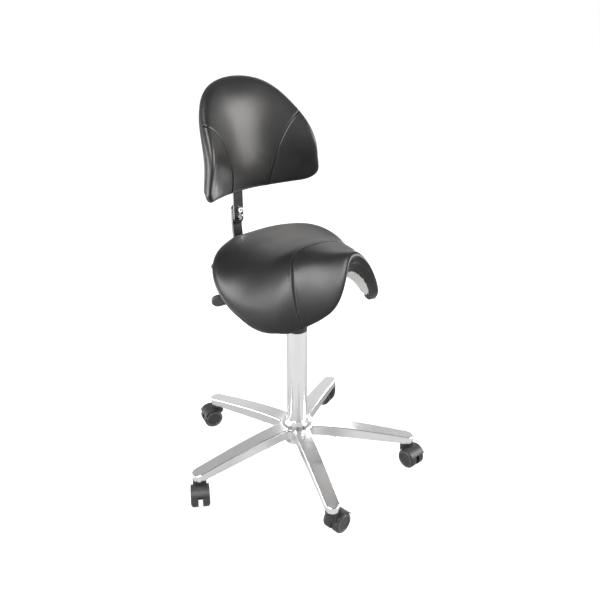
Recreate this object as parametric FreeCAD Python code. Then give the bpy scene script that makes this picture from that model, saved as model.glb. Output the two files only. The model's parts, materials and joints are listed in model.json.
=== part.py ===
"""Saddle stool with a wrap-round backrest, on a five-arm base with twin-wheel castors.

Millimetres. +Z is up and the origin is on the floor, on the axis of the column.
The rider faces -Y, so the rider's right hand is on the -X side.
"""
import FreeCAD
import Part
import math
import os

from FreeCAD import Vector

os.makedirs("parts", exist_ok=True)

# ---------------------------------------------------------------- general fits
running_gap = 0.05        # radial clearance of a pin or shaft that turns in its hole
seat_gap = 0.03           # radial clearance of pieces pressed together
soft_gap = 0.3            # between upholstery and the shell that carries it
tool_length = 900.0       # of a cutting solid that passes right through what it trims

# ---------------------------------------------------------------- castors
wheel_radius = 25.0
tread_depth = 3.4
wheel_inner_face = 5.7    # from the castor's middle plane
wheel_outer_face = 22.0
castor_trail = 17.5       # axle behind the swivel axis
axle_radius = 4.0
axle_half_length = 18.0
web_half = 5.2
hood_gap = 1.2            # between tread and hood
hood_wall = 2.4
hood_front_angle = 48.0   # where the fender starts, inside the collar
hood_rear_angle = 150.0   # where it ends behind the top
castor_collar_radius = 16.5
castor_top = 62.6
collar_low = 38.0
stem_radius = 5.4
stem_low_radius = 3.8
stem_low_end = 30.0
stem_depth = 15.0         # in the arm's socket

# ---------------------------------------------------------------- star base
arm_count = 5
arm_first_angle = 27.8
socket_circle_radius = 282.0
nose_radius = 17.5
arm_half_root = 20.5
arm_root_radius = 62.0    # where the half width above is measured
arm_crotch_radius = 11.0
arm_top_tip = 84.0
arm_top_root = 116.0
arm_bottom_tip = 64.0
arm_bottom_root = 90.0
arm_crown = 3.0           # rise of the top line above a straight one
slab_thickness = 6.0
slab_edge_radius = 3.4
wall_step = 1.6           # side walls stand in from the slab's edge
arm_wall = 4.2
rib_thickness = 3.0
rib_radii = (105.0, 150.0, 195.0, 240.0)
pad_radius = 97.0         # casting pads on the lower edges of the arm
pad_height = 2.6
pad_width = 11.0
hub_radius = 34.0
hub_bottom = 70.0
hub_top = 131.0
hub_flare_radius = 47.0
hub_lip = 3.2

# ---------------------------------------------------------------- column and gas lift
tube_radius = 25.0
tube_wall = 2.0
tube_top = 380.0
tube_floor = 4.0
tube_below_hub = 2.0
collar_height = 12.0
collar_edge = 2.5
bush_length = 72.0
cylinder_radius = 14.0
cylinder_wall = 1.8
cylinder_bottom = 112.0
cylinder_top = 452.0
cylinder_cap = 12.0
rod_radius = 5.0
rod_below_floor = 8.0
piston_height = 14.0
piston_drop = 16.0        # piston below the cylinder's inner end when lowered
bearing_radius = 13.0
bearing_height = 5.0
washer_height = 2.0
bump_stop_radius = 11.0
clip_radius = 8.5
clip_height = 1.6
clip_gap = 0.4
button_radius = 3.0
button_height = 7.0

# ---------------------------------------------------------------- mechanism
house_half = 45.0
house_wall = 2.5
house_front = -72.0
house_rear = 78.0
house_floor_rear = 44.0
house_bottom = 434.0
house_top = 476.0
house_corner = 6.0
socket_outer_radius = 21.0
socket_drop = 8.0
socket_rise = 6.0
pin_radius = 5.0
pin_head = 3.0
tilt_pin_y = -52.0
tilt_pin_z = 462.0
recline_pin_y = 62.0
recline_pin_z = 455.0
plate_top = 502.0
plate_thickness = 4.0
plate_half_width = 52.0
plate_front = -88.0
plate_rear = 92.0
plate_corner = 18.0
flange_gap = 0.6
flange_thickness = 3.0
flange_half_length = 26.0
seat_screw_x = 36.0
seat_screw_front = -74.0
seat_screw_rear = 70.0
screw_radius = 3.0
screw_head_radius = 6.5
screw_head_height = 4.0

# ---------------------------------------------------------------- levers
lever_rod_radius = 4.0
lever_clearance = 0.3     # round the rod, in the slot of the housing's wall that it rocks in
height_lever_swing = 4.0  # the slots are this long in degrees, more than the levers' travel
tilt_lever_swing = 6.0
height_lever_inner = (7.0, -3.7, 463.4)
height_lever_outer = (-173.0, 90.0, 480.0)
tilt_lever_inner = (-36.0, 42.0, 463.0)
tilt_lever_outer = (-96.0, 191.0, 513.0)
handle_roll = 65.0
handle_length = 42.0
handle_width = 33.0
handle_thickness = 11.0
handle_neck_width = 13.0
handle_cover = 36.0       # how far the rod reaches into the handle

# ---------------------------------------------------------------- back bar and stem
bar_width = 28.0
bar_thickness = 9.0
bar_front = 68.0
bar_bend_radius = 52.0
bar_lean = 6.0            # degrees that the upright leans back below the lap
bar_lap_y = 220.0
lap_bottom = 596.0
lap_top = 642.0
carrier_thickness = 4.0
carrier_half = 24.0
spacer_stand = 2.0
carrier_rear = 128.0
carrier_ear_top = 468.0
carrier_bolt_y = (86.0, 112.0)
carrier_bolt_radius = 4.0
stem_thickness = 7.0
stem_knee_z = 684.0
stem_foot_z = 752.0
stem_end_z = 842.0
stem_lean = 7.9
lap_screw_z = (613.0, 630.5)
lap_screw_radius = 4.0
lap_head_radius = 7.2
lap_head_height = 6.0
hex_key_radius = 3.2
hex_key_depth = 3.0
lap_nut_radius = 6.5
lap_nut_height = 5.0

# ---------------------------------------------------------------- saddle
# Outline seen from above, rear rim to front lip: (forward, half width)
saddle_rear = -187.0
saddle_outline = (
    (-180.0, 40.0),
    (-160.0, 66.0),
    (-130.0, 111.0),
    (-92.0, 167.0),
    (-45.0, 197.0),
    (5.0, 195.0),
    (55.0, 180.0),
    (105.0, 153.0),
    (138.0, 119.0),
    (162.0, 94.0),
    (180.0, 78.0),
    (191.0, 66.0),
    (196.0, 51.0),
    (188.0, 29.0),
)
saddle_lip = 179.0
# Stations of the top: (forward, half width, crest height, drop at that half width, exponent)
saddle_stations = (
    (-205.0, 130.0, 566.0, -4.0, 2.5),
    (-150.0, 148.0, 590.0, -10.0, 2.4),
    (-100.0, 171.0, 590.0, 6.0, 2.4),
    (-50.0, 194.0, 587.0, 33.0, 2.5),
    (0.0, 193.0, 598.0, 79.0, 2.6),
    (50.0, 180.0, 612.0, 114.0, 2.6),
    (100.0, 157.0, 615.0, 129.0, 2.7),
    (150.0, 116.0, 623.0, 141.0, 2.1),
    (190.0, 77.0, 639.0, 118.0, 1.5),
)
pad_edge_thickness = 17.0
pad_lip_thickness = 14.0
pad_middle_thickness = 46.0
steepness_limit = 1.9      # the rim's edge grows no taller than this where a flap is steep
pommel_thickness = 82.0    # the pad is this thick at most, under the rise of the pommel
pommel_from = -30.0        # the rise starts here
pommel_to = 60.0           # and is complete here
pad_thin_from = 20.0      # forward of here the pad thins towards the lip
pad_thin_back_from = 60.0  # and behind here towards the rear rim
shell_thickness = 6.0
shell_inset = 13.0
boss_radius = 9.0
boss_reach = 150.0        # from the plate well into the shell, which trims the bosses
seat_screw_reach = 10.0

# ---------------------------------------------------------------- backrest
# Outline of the backrest: (half width, height) from the bottom middle to the top
back_outline = (
    (50.0, 690.0),
    (92.0, 692.0),
    (122.0, 695.0),
    (146.0, 700.0),
    (161.0, 714.0),
    (161.0, 745.0),
    (154.0, 795.0),
    (144.0, 842.0),
    (122.0, 889.0),
    (85.0, 925.0),
    (43.0, 940.0),
)
back_outline_bottom = 689.0
back_outline_top = 944.0
back_front_low = 174.0    # rim of the front surface behind the axis, at the bottom middle
back_front_low_z = 691.0
back_rake = 7.9           # degrees from upright
# How far the rim comes forward at back_wrap_side: (height, depth)
back_wrap = (
    (690.0, 79.0),
    (730.0, 90.0),
    (770.0, 105.0),
    (820.0, 102.0),
    (880.0, 75.0),
    (950.0, 39.0),
)
back_wrap_side = 165.0
back_crown = 24.0         # how far the padding stands in front of its rim
back_crown_side = 168.0
back_edge_thickness = 20.0
back_shell_thickness = 5.0
back_shell_inset = 12.0
back_screw_z = (778.0, 822.0)
back_boss_z = 800.0       # where the stem comes nearest to the shell
back_boss_stand = 2.0     # stem to shell there, taken up by the bosses
back_boss_radius = 10.0


# ================================================================ helpers
def vec(x, y, z):
    return Vector(x, y, z)


def box(x0, x1, y0, y1, z0, z1):
    return Part.makeBox(x1 - x0, y1 - y0, z1 - z0, vec(x0, y0, z0))


def rod(radius, start, end):
    """Cylinder between two points."""
    start = Vector(*start)
    along = Vector(*end) - start
    return Part.makeCylinder(radius, along.Length, start, along)


def upright_drill(radius, x, y):
    return rod(radius, (x, y, -tool_length), (x, y, tool_length))


def level_drill(radius, z):
    """Tool for a hole from front to rear in the middle plane."""
    return rod(radius, (0, -tool_length, z), (0, tool_length, z))


def revolve(profile, axis=(0, 0, 1)):
    """Solid turned from (radius, height) points about the Z axis, then laid along axis."""
    points = [vec(r, 0, h) for r, h in profile]
    face = Part.Face(Part.makePolygon(points + points[:1]))
    solid = face.revolve(vec(0, 0, 0), vec(0, 0, 1), 360)
    turn = FreeCAD.Rotation(vec(0, 0, 1), Vector(*axis))
    solid.Placement = FreeCAD.Placement(vec(0, 0, 0), turn)
    return solid


def turned(shape, degrees, centre=(0, 0, 0), axis=(0, 0, 1)):
    copy = shape.copy()
    copy.rotate(Vector(*centre), Vector(*axis), degrees)
    return copy


def moved(shape, x, y, z):
    copy = shape.copy()
    copy.translate(vec(x, y, z))
    return copy


def rounded_plate(x0, x1, y0, y1, z0, z1, corner):
    plate = box(x0, x1, y0, y1, z0, z1)
    upright = [e for e in plate.Edges if abs(e.Vertexes[0].Z - e.Vertexes[1].Z) > (z1 - z0) / 2]
    return plate.makeFillet(corner, upright)


def save(name, shape):
    shape = shape.Solids[0] if len(shape.Solids) == 1 else shape
    shape.exportStep("parts/" + name + ".step")


# ================================================================ star base
def arm_sector_plan(inset):
    """Plan of one arm and its share of the hub, as a wedge from the centre to the nose."""
    half_turn = math.pi / arm_count
    slope = (arm_half_root - nose_radius) / (socket_circle_radius - arm_root_radius)
    lean = math.atan(slope)
    nose = nose_radius - inset
    reach = socket_circle_radius
    # side line: starts where it touches the nose arc and rises towards the hub
    touch = vec(reach + nose * math.sin(lean), nose * math.cos(lean), 0)
    along = vec(-math.cos(lean), math.sin(lean), 0)
    crotch = arm_crotch_radius + inset
    # centre of the crotch arc lies on the wedge's edge, one radius outside the side line
    normal = vec(math.sin(lean), math.cos(lean), 0)
    start = touch + normal * crotch
    edge = vec(math.cos(half_turn), math.sin(half_turn), 0)
    cross = along.x * edge.y - along.y * edge.x
    travel = (start.y * edge.x - start.x * edge.y) / cross
    centre = start + along * travel
    meet = centre - normal * crotch
    inner = edge * (centre.Length - crotch)
    bend = (meet - centre).normalize() + (inner - centre).normalize()
    middle = centre + bend.normalize() * crotch

    def flip(point):
        return vec(point.x, -point.y, 0)

    tip = vec(reach + nose, 0, 0)
    origin = vec(0, 0, 0)
    edges = [
        Part.LineSegment(origin, inner).toShape(),
        Part.Arc(inner, middle, meet).toShape(),
        Part.LineSegment(meet, touch).toShape(),
        Part.Arc(touch, tip, flip(touch)).toShape(),
        Part.LineSegment(flip(touch), flip(meet)).toShape(),
        Part.Arc(flip(meet), flip(middle), flip(inner)).toShape(),
        Part.LineSegment(flip(inner), origin).toShape(),
    ]
    return Part.Face(Part.Wire(edges))


def arm_top_line(drop):
    """Upper line of the arm in the XZ plane, from the centre past the nose."""
    def height(radius):
        share = (radius - arm_root_radius) / (socket_circle_radius - arm_root_radius)
        straight = arm_top_root + share * (arm_top_tip - arm_top_root)
        return straight + arm_crown * 4 * share * (1 - share) - drop

    flat = height(arm_root_radius)
    middle = (arm_root_radius + socket_circle_radius) / 2
    end = socket_circle_radius + nose_radius + 5
    curve = Part.BSplineCurve()
    curve.interpolate([vec(-5, 0, flat + 1), vec(arm_root_radius, 0, flat),
                       vec(middle, 0, height(middle)), vec(end, 0, height(end))])
    return curve


def under_line(drop, bottom):
    """Block below the arm's upper line, wide enough for every plan."""
    curve = arm_top_line(drop)
    first = curve.StartPoint
    last = curve.EndPoint
    reach = 80.0
    lower_first = vec(first.x, 0, bottom)
    lower_last = vec(last.x, 0, bottom)
    wire = Part.Wire([
        curve.toShape(),
        Part.LineSegment(last, lower_last).toShape(),
        Part.LineSegment(lower_last, lower_first).toShape(),
        Part.LineSegment(lower_first, first).toShape(),
    ])
    face = Part.Face(wire)
    face.translate(vec(0, -reach, 0))
    return face.extrude(vec(0, 2 * reach, 0))


def arm_bottom_block():
    """Block under the arm's lower edge, taken away from the walls."""
    far = socket_circle_radius + nose_radius + 10
    slope = (arm_bottom_root - arm_bottom_tip) / (arm_root_radius - socket_circle_radius)
    inner_z = arm_bottom_root
    boss_line = socket_circle_radius - nose_radius
    outline = [
        vec(-10, 0, 0), vec(-10, 0, inner_z), vec(arm_root_radius, 0, inner_z),
        vec(boss_line, 0, inner_z + slope * (boss_line - arm_root_radius)),
        vec(boss_line + 4, 0, arm_bottom_tip), vec(far, 0, arm_bottom_tip), vec(far, 0, 0),
    ]
    face = Part.Face(Part.makePolygon(outline + outline[:1]))
    face.translate(vec(0, -80, 0))
    return face.extrude(vec(0, 160, 0))


def one_arm():
    tall = vec(0, 0, 200)
    slab = arm_sector_plan(0).extrude(tall).common(under_line(0, arm_bottom_tip - 20))
    top_edges = []
    for edge in slab.Edges:
        low = min(v.Z for v in edge.Vertexes)
        middle = edge.valueAt((edge.FirstParameter + edge.LastParameter) / 2)
        on_wedge = abs(abs(math.atan2(middle.y, middle.x)) - math.pi / arm_count) < 0.01
        if low > arm_top_tip - 25 and not on_wedge:
            top_edges.append(edge)
    slab = slab.makeFillet(slab_edge_radius, top_edges)
    slab = slab.cut(under_line(slab_thickness, 0))
    walls = arm_sector_plan(wall_step).extrude(tall).common(under_line(slab_thickness, 40))
    walls = walls.cut(arm_bottom_block())
    pocket = arm_sector_plan(wall_step + arm_wall).extrude(tall).common(under_line(slab_thickness, 40))
    boss_column = Part.makeCylinder(nose_radius - wall_step, 200, vec(socket_circle_radius, 0, 0))
    pocket = pocket.cut(boss_column)
    pocket = pocket.cut(Part.makeCylinder(hub_radius, 200))
    for radius in rib_radii:
        pocket = pocket.cut(box(radius - rib_thickness / 2, radius + rib_thickness / 2, -40, 40, 0, 200))
    walls = walls.cut(pocket)
    arm = slab.fuse(walls)
    share = (pad_radius - arm_root_radius) / (socket_circle_radius - arm_root_radius)
    edge_z = arm_bottom_root + share * (arm_bottom_tip - arm_bottom_root)
    half = arm_half_root - wall_step - arm_wall / 2 - 1.0
    for side in (-1, 1):
        pad = Part.makeCylinder(pad_width / 2, arm_wall, vec(pad_radius, side * half - arm_wall / 2, 0),
                                vec(0, 1, 0))
        pad.translate(vec(0, 0, edge_z + pad_width / 2 - pad_height))
        arm = arm.fuse(pad)
    socket = rod(stem_radius + running_gap, (socket_circle_radius, 0, 0),
                 (socket_circle_radius, 0, castor_top + stem_depth + 2))
    return arm.cut(socket)


def star_base():
    arm = one_arm()
    arms = [turned(arm, arm_first_angle + 360.0 / arm_count * i) for i in range(arm_count)]
    flare = revolve([
        (tube_radius - 2, hub_bottom), (hub_radius, hub_bottom), (hub_radius, arm_bottom_root + 8),
        (hub_flare_radius, arm_bottom_root + 14), (hub_flare_radius, arm_top_root - 1.5),
        (hub_flare_radius - 8, arm_top_root + 1.0), (tube_radius + hub_lip + 4, arm_top_root + 5),
        (tube_radius + hub_lip, hub_top - 3), (tube_radius + hub_lip - 1.2, hub_top),
        (tube_radius - 2, hub_top),
    ])
    base = arms[0].multiFuse(arms[1:] + [flare])
    bore = rod(tube_radius + seat_gap, (0, 0, 0), (0, 0, 200))
    return base.cut(bore)


# ================================================================ column and gas lift
tube_bottom = hub_bottom - tube_below_hub
floor_top = tube_bottom + tube_floor
rod_low_end = tube_bottom - rod_below_floor


def column_tube():
    tube = rod(tube_radius, (0, 0, tube_bottom), (0, 0, tube_top))
    tube = tube.cut(rod(tube_radius - tube_wall, (0, 0, floor_top), (0, 0, tube_top + 1)))
    return tube.cut(rod(rod_radius + running_gap, (0, 0, 0), (0, 0, floor_top + 1)))


def guide_bush():
    inner = cylinder_radius + running_gap
    skirt = tube_radius - tube_wall - seat_gap
    return revolve([
        (inner, tube_top - bush_length), (skirt, tube_top - bush_length), (skirt, tube_top),
        (tube_radius, tube_top), (tube_radius, tube_top + collar_height - collar_edge),
        (tube_radius - collar_edge, tube_top + collar_height), (inner, tube_top + collar_height),
    ])


cylinder_inner_top = cylinder_top - cylinder_cap
piston_top = cylinder_inner_top - piston_drop
gland_height = 9.0


def gas_cylinder():
    inner = cylinder_radius - cylinder_wall
    return revolve([
        (rod_radius + running_gap, cylinder_bottom), (cylinder_radius - 1.5, cylinder_bottom),
        (cylinder_radius, cylinder_bottom + 1.5), (cylinder_radius, cylinder_top - 1.0),
        (cylinder_radius - 1.0, cylinder_top), (button_radius + running_gap, cylinder_top),
        (button_radius + running_gap, cylinder_inner_top), (inner, cylinder_inner_top),
        (inner, cylinder_bottom + gland_height), (rod_radius + running_gap, cylinder_bottom + gland_height),
    ])


def piston_rod():
    piston = cylinder_radius - cylinder_wall - running_gap
    return revolve([
        (0, rod_low_end), (rod_radius - 0.8, rod_low_end), (rod_radius, rod_low_end + 0.8),
        (rod_radius, piston_top - piston_height), (piston, piston_top - piston_height),
        (piston, piston_top), (0, piston_top),
    ])


def ring(inner, outer, low, high):
    return revolve([(inner, low), (outer, low), (outer, high), (inner, high)])


def release_button():
    top = cylinder_top + button_height
    return revolve([
        (0, cylinder_inner_top + 4), (button_radius, cylinder_inner_top + 4), (button_radius, top - 1),
        (button_radius - 1, top), (0, top),
    ])


# ================================================================ castors
# Each castor is modelled with its swivel axis on Z and its axle towards +X.
castor_yaws = (107.3, 162.3, 235.3, 4.3, 267.3)


def castor_hood():
    inner = wheel_radius + hood_gap
    outer = inner + hood_wall
    centre = vec(castor_trail, 0, wheel_radius)

    def at(radius, degrees):
        angle = math.radians(180 - degrees)
        return vec(centre.x + radius * math.cos(angle), 0, centre.z + radius * math.sin(angle))

    middle = (hood_front_angle + hood_rear_angle) / 2
    band = Part.Wire([
        Part.Arc(at(inner, hood_front_angle), at(inner, middle), at(inner, hood_rear_angle)).toShape(),
        Part.LineSegment(at(inner, hood_rear_angle), at(outer, hood_rear_angle)).toShape(),
        Part.Arc(at(outer, hood_rear_angle), at(outer, middle), at(outer, hood_front_angle)).toShape(),
        Part.LineSegment(at(outer, hood_front_angle), at(inner, hood_front_angle)).toShape(),
    ])
    face = Part.Face(band)
    face.translate(vec(0, -wheel_outer_face, 0))
    hood = face.extrude(vec(0, 2 * wheel_outer_face, 0))
    # web between the wheels: a disc round the axle, joined to the hood above it
    web = Part.makeCylinder(inner + 0.5, 2 * web_half, centre - vec(0, web_half, 0), vec(0, 1, 0))
    keep = box(-20, castor_trail + 4, -web_half, web_half, wheel_radius - 4, 70)
    hub = Part.makeCylinder(9.0, 2 * web_half, centre - vec(0, web_half, 0), vec(0, 1, 0))
    web = web.common(keep).fuse(hub)
    collar = rod(castor_collar_radius, (0, 0, collar_low), (0, 0, castor_top))
    room = Part.makeCylinder(inner, 4 * wheel_outer_face,
                             centre - vec(0, 2 * wheel_outer_face, 0), vec(0, 1, 0))
    collar = collar.cut(room)
    hood = hood.multiFuse([web, collar])
    hood = hood.cut(rod(stem_radius + seat_gap, (0, 0, castor_top - 6), (0, 0, castor_top + 1)))
    hood = hood.cut(rod(stem_low_radius + seat_gap, (0, 0, stem_low_end), (0, 0, castor_top)))
    return hood.cut(Part.makeCylinder(axle_radius + seat_gap, 4 * web_half,
                                      centre - vec(0, 2 * web_half, 0), vec(0, 1, 0)))


def castor_stem():
    low = castor_top - 6 + seat_gap
    top = castor_top + stem_depth
    return revolve([
        (0, stem_low_end), (stem_low_radius, stem_low_end), (stem_low_radius, low), (stem_radius, low),
        (stem_radius, top - 1.0), (stem_radius - 1.0, top), (0, top),
    ])


def castor_axle():
    return Part.makeCylinder(axle_radius, 2 * axle_half_length,
                             vec(castor_trail, -axle_half_length, wheel_radius), vec(0, 1, 0))


def castor_wheel(side):
    """Wheel with its moulded tread and closed outer face."""
    body = wheel_radius - tread_depth
    hole = axle_radius + running_gap
    wheel = revolve([
        (hole, wheel_inner_face), (wheel_radius, wheel_inner_face), (wheel_radius, wheel_outer_face - 3.6),
        (wheel_radius - 2.0, wheel_outer_face - 0.6), (body, wheel_outer_face - 0.6),
        (body - 0.8, wheel_outer_face), (body - 5.5, wheel_outer_face), (body - 6.1, wheel_outer_face - 0.8),
        (0, wheel_outer_face - 0.8), (0, axle_half_length + 0.4), (hole, axle_half_length + 0.4),
    ])
    wheel.rotate(vec(0, 0, 0), vec(1, 0, 0), -90 * side)
    return moved(wheel, castor_trail, 0, wheel_radius)


def save_castors():
    pieces = {
        "housing": castor_hood(), "stem": castor_stem(), "axle": castor_axle(),
        "wheel_left": castor_wheel(1), "wheel_right": castor_wheel(-1),
    }
    for i in range(arm_count):
        angle = math.radians(arm_first_angle + 360.0 / arm_count * i)
        x = socket_circle_radius * math.cos(angle)
        y = socket_circle_radius * math.sin(angle)
        for name, shape in pieces.items():
            placed = moved(turned(shape, castor_yaws[i]), x, y, 0)
            save("castor_%d_%s" % (i + 1, name), placed)


# ================================================================ mechanism under the seat
def mechanism_housing():
    inner = house_half - house_wall
    shell = box(-house_half, house_half, house_front, house_rear, house_bottom, house_top)
    upright = [e for e in shell.Edges
               if abs(e.Vertexes[0].Z - e.Vertexes[1].Z) > 10 and e.Vertexes[0].Y < 0]
    shell = shell.makeFillet(house_corner, upright)
    hollow = box(-inner, inner, house_front + house_wall, house_rear + 1,
                 house_bottom + house_wall, house_top + 1)
    upright = [e for e in hollow.Edges
               if abs(e.Vertexes[0].Z - e.Vertexes[1].Z) > 10 and e.Vertexes[0].Y < 0]
    hollow = hollow.makeFillet(house_corner - house_wall, upright)
    shell = shell.cut(hollow)
    shell = shell.cut(box(-inner, inner, house_floor_rear, house_rear + 1, 0, house_top))
    # side walls slope down at the rear
    wedge = Part.Face(Part.makePolygon([
        vec(-60, house_rear + 1, house_bottom - 1), vec(-60, house_floor_rear, house_bottom - 1),
        vec(-60, house_rear + 1, recline_pin_z - 12), vec(-60, house_rear + 1, house_bottom - 1)]))
    shell = shell.cut(wedge.extrude(vec(120, 0, 0)))
    low = house_bottom - socket_drop
    high = house_bottom + house_wall + socket_rise
    socket = revolve([
        (cylinder_radius - 3, low), (socket_outer_radius - 2, low), (socket_outer_radius, low + 3),
        (socket_outer_radius, house_bottom + house_wall), (socket_outer_radius - 3, high),
        (cylinder_radius - 3, high),
    ])
    shell = shell.fuse(socket)
    shell = shell.cut(upright_drill(cylinder_radius + seat_gap, 0, 0))
    for y, z in ((tilt_pin_y, tilt_pin_z), (recline_pin_y, recline_pin_z)):
        shell = shell.cut(rod(pin_radius + seat_gap, (-60, y, z), (60, y, z)))
    for start, end, swing in ((height_lever_inner, height_lever_outer, -height_lever_swing),
                              (tilt_lever_inner, tilt_lever_outer, tilt_lever_swing)):
        for share in (0.0, 0.25, 0.5, 0.75, 1.0):
            shell = shell.cut(swung(rod(lever_rod_radius + lever_clearance, start, end), start, end,
                                    swing * share))
    return shell


def swung(lever, start, end, degrees):
    """The lever rocked in the housing's side wall, its outer end lowered by a positive angle."""
    along = Vector(*end) - Vector(*start)
    share = (house_wall / 2 - house_half - start[0]) / along.x
    pivot = Vector(*start) + along * share
    return turned(lever, degrees, (pivot.x, pivot.y, pivot.z), (-along.y, along.x, 0))


def headed_pin(half_length, y, z):
    pin = rod(pin_radius, (-half_length, y, z), (half_length, y, z))
    heads = [rod(pin_radius + 2.5, (side * half_length, y, z), (side * (half_length + pin_head), y, z))
             for side in (-1, 1)]
    return pin.multiFuse(heads)


tilt_pin_half = house_half + flange_gap + flange_thickness + 0.5
recline_pin_half = house_half + 0.3


def seat_plate():
    low = plate_top - plate_thickness
    plate = rounded_plate(-plate_half_width, plate_half_width, plate_front, plate_rear, low, plate_top,
                          plate_corner)
    inner = house_half + flange_gap
    outer = inner + flange_thickness
    flanges = []
    for side in (-1, 1):
        x0, x1 = sorted((side * inner, side * outer))
        half = flange_half_length
        drop = 11.0
        outline = [
            vec(x0, tilt_pin_y - half, low + 1), vec(x0, tilt_pin_y - drop, tilt_pin_z - 4),
            vec(x0, tilt_pin_y - 5, tilt_pin_z - drop), vec(x0, tilt_pin_y + 5, tilt_pin_z - drop),
            vec(x0, tilt_pin_y + drop, tilt_pin_z - 4), vec(x0, tilt_pin_y + half, low + 1),
        ]
        face = Part.Face(Part.makePolygon(outline + outline[:1]))
        flanges.append(face.extrude(vec(x1 - x0, 0, 0)))
    plate = plate.multiFuse(flanges)
    plate = plate.cut(rod(pin_radius + running_gap, (-plate_half_width * 2, tilt_pin_y, tilt_pin_z),
                          (plate_half_width * 2, tilt_pin_y, tilt_pin_z)))
    plate = plate.cut(Part.makeCylinder(15, 20, vec(0, 0, low - 5)))
    for x, y in seat_screw_places():
        plate = plate.cut(rod(screw_radius + seat_gap, (x, y, 480), (x, y, 520)))
    return plate


def seat_screw_places():
    return [(x, y) for x in (-seat_screw_x, seat_screw_x) for y in (seat_screw_front, seat_screw_rear)]


def seat_screw(x, y):
    low = plate_top - plate_thickness
    screw = rod(screw_radius, (x, y, low - 1), (x, y, plate_top + seat_screw_reach))
    head = rod(screw_head_radius, (x, y, low - screw_head_height), (x, y, low))
    return screw.fuse(head)


# ================================================================ back bar, carrier and stem
def bar_middle_line():
    """Middle line of the bar in the YZ plane: along under the seat, up behind it, then upright."""
    lean = math.radians(bar_lean)
    low_z = carrier_floor_top + bar_thickness / 2
    upright_y = bar_lap_y
    knee_z = lap_bottom - 6
    foot_y = upright_y - (knee_z - low_z) * math.tan(lean)
    # tangent arc between the flat run and the leaning upright
    turn = math.pi / 2 - lean
    cut_back = bar_bend_radius * math.tan(turn / 2)
    start = vec(0, foot_y - cut_back, low_z)
    end = vec(0, foot_y + cut_back * math.sin(lean), low_z + cut_back * math.cos(lean))
    centre = vec(0, foot_y - cut_back, low_z + bar_bend_radius)
    half = turn / 2
    middle = centre + vec(0, math.sin(half), -math.cos(half)) * bar_bend_radius
    knee = vec(0, upright_y, knee_z)
    top = vec(0, upright_y, lap_top)
    return [
        Part.LineSegment(vec(0, bar_front, low_z), start).toShape(),
        Part.Arc(start, middle, end).toShape(),
        Part.LineSegment(end, knee).toShape(),
        Part.LineSegment(knee, top).toShape(),
    ]


def strip(edges, thickness, width, corner):
    """Flat bar whose middle line lies in the YZ plane."""
    wire = Part.Wire(edges)
    ribbon = wire.makeOffset2D(thickness / 2, 2, False, True, True)
    other = wire.makeOffset2D(-thickness / 2, 2, False, True, True)
    closed = ribbon.Edges + other.Edges
    a_first, a_last = ribbon.OrderedVertexes[0].Point, ribbon.OrderedVertexes[-1].Point
    near_first = min(other.OrderedVertexes, key=lambda v: (v.Point - a_first).Length).Point
    near_last = min(other.OrderedVertexes, key=lambda v: (v.Point - a_last).Length).Point
    closed.append(Part.LineSegment(a_first, near_first).toShape())
    closed.append(Part.LineSegment(a_last, near_last).toShape())
    face = Part.Face(Part.Wire(Part.__sortEdges__(closed)))
    face.translate(vec(-width / 2, 0, 0))
    bar = face.extrude(vec(width, 0, 0))
    if corner:
        long_edges = [e for e in bar.Edges
                      if abs(e.Vertexes[0].X - e.Vertexes[-1].X) < 1e-6 and e.Length > thickness * 1.5]
        bar = bar.makeFillet(corner, long_edges)
    return bar


def round_end(bar, z_end, y, width, up):
    """Rounds the end of an upright flat bar as seen from the front."""
    half = width / 2
    corner = box(-width, width, y - 30, y + 30, z_end - (half if up else 0), z_end + (0 if up else half))
    disc = Part.makeCylinder(half, 60, vec(0, y - 30, z_end - half if up else z_end + half), vec(0, 1, 0))
    return bar.cut(corner.cut(disc))


carrier_floor_top = recline_pin_z - pin_radius - 2.0 - bar_thickness


def back_bar():
    bar = strip(bar_middle_line(), bar_thickness, bar_width, 2.6)
    bar = round_end(bar, lap_top, bar_lap_y, bar_width, True)
    for z in lap_screw_z:
        bar = bar.cut(level_drill(lap_screw_radius + seat_gap, z))
    for y in carrier_bolt_y:
        bar = bar.cut(upright_drill(carrier_bolt_radius + seat_gap, 0, y))
    return bar


def back_carrier():
    low = carrier_floor_top - carrier_thickness
    front = recline_pin_y - 12
    outer = carrier_half + carrier_thickness
    floor = rounded_plate(-outer, outer, front, carrier_rear, low, carrier_floor_top, 3)
    ears = []
    for side in (-1, 1):
        x0 = side * carrier_half
        outline = [
            vec(x0, front + 3, low + 1), vec(x0, front, recline_pin_z), vec(x0, front + 4, carrier_ear_top),
            vec(x0, recline_pin_y + 10, carrier_ear_top), vec(x0, carrier_rear - 6, carrier_floor_top + 6),
            vec(x0, carrier_rear - 4, low + 1),
        ]
        face = Part.Face(Part.makePolygon(outline + outline[:1]))
        ears.append(face.extrude(vec(side * carrier_thickness, 0, 0)))
    spacer = rod(pin_radius + 3.0, (-outer - spacer_stand, recline_pin_y, recline_pin_z),
                 (outer + spacer_stand, recline_pin_y, recline_pin_z))
    carrier = floor.multiFuse(ears + [spacer])
    carrier = carrier.cut(box(-bar_width / 2 - 0.5, bar_width / 2 + 0.5, bar_front - 1, 140,
                              carrier_floor_top, carrier_floor_top + bar_thickness + 0.3))
    carrier = carrier.cut(rod(pin_radius + running_gap, (-80, recline_pin_y, recline_pin_z),
                              (80, recline_pin_y, recline_pin_z)))
    for y in carrier_bolt_y:
        carrier = carrier.cut(upright_drill(carrier_bolt_radius + seat_gap, 0, y))
    return carrier


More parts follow.
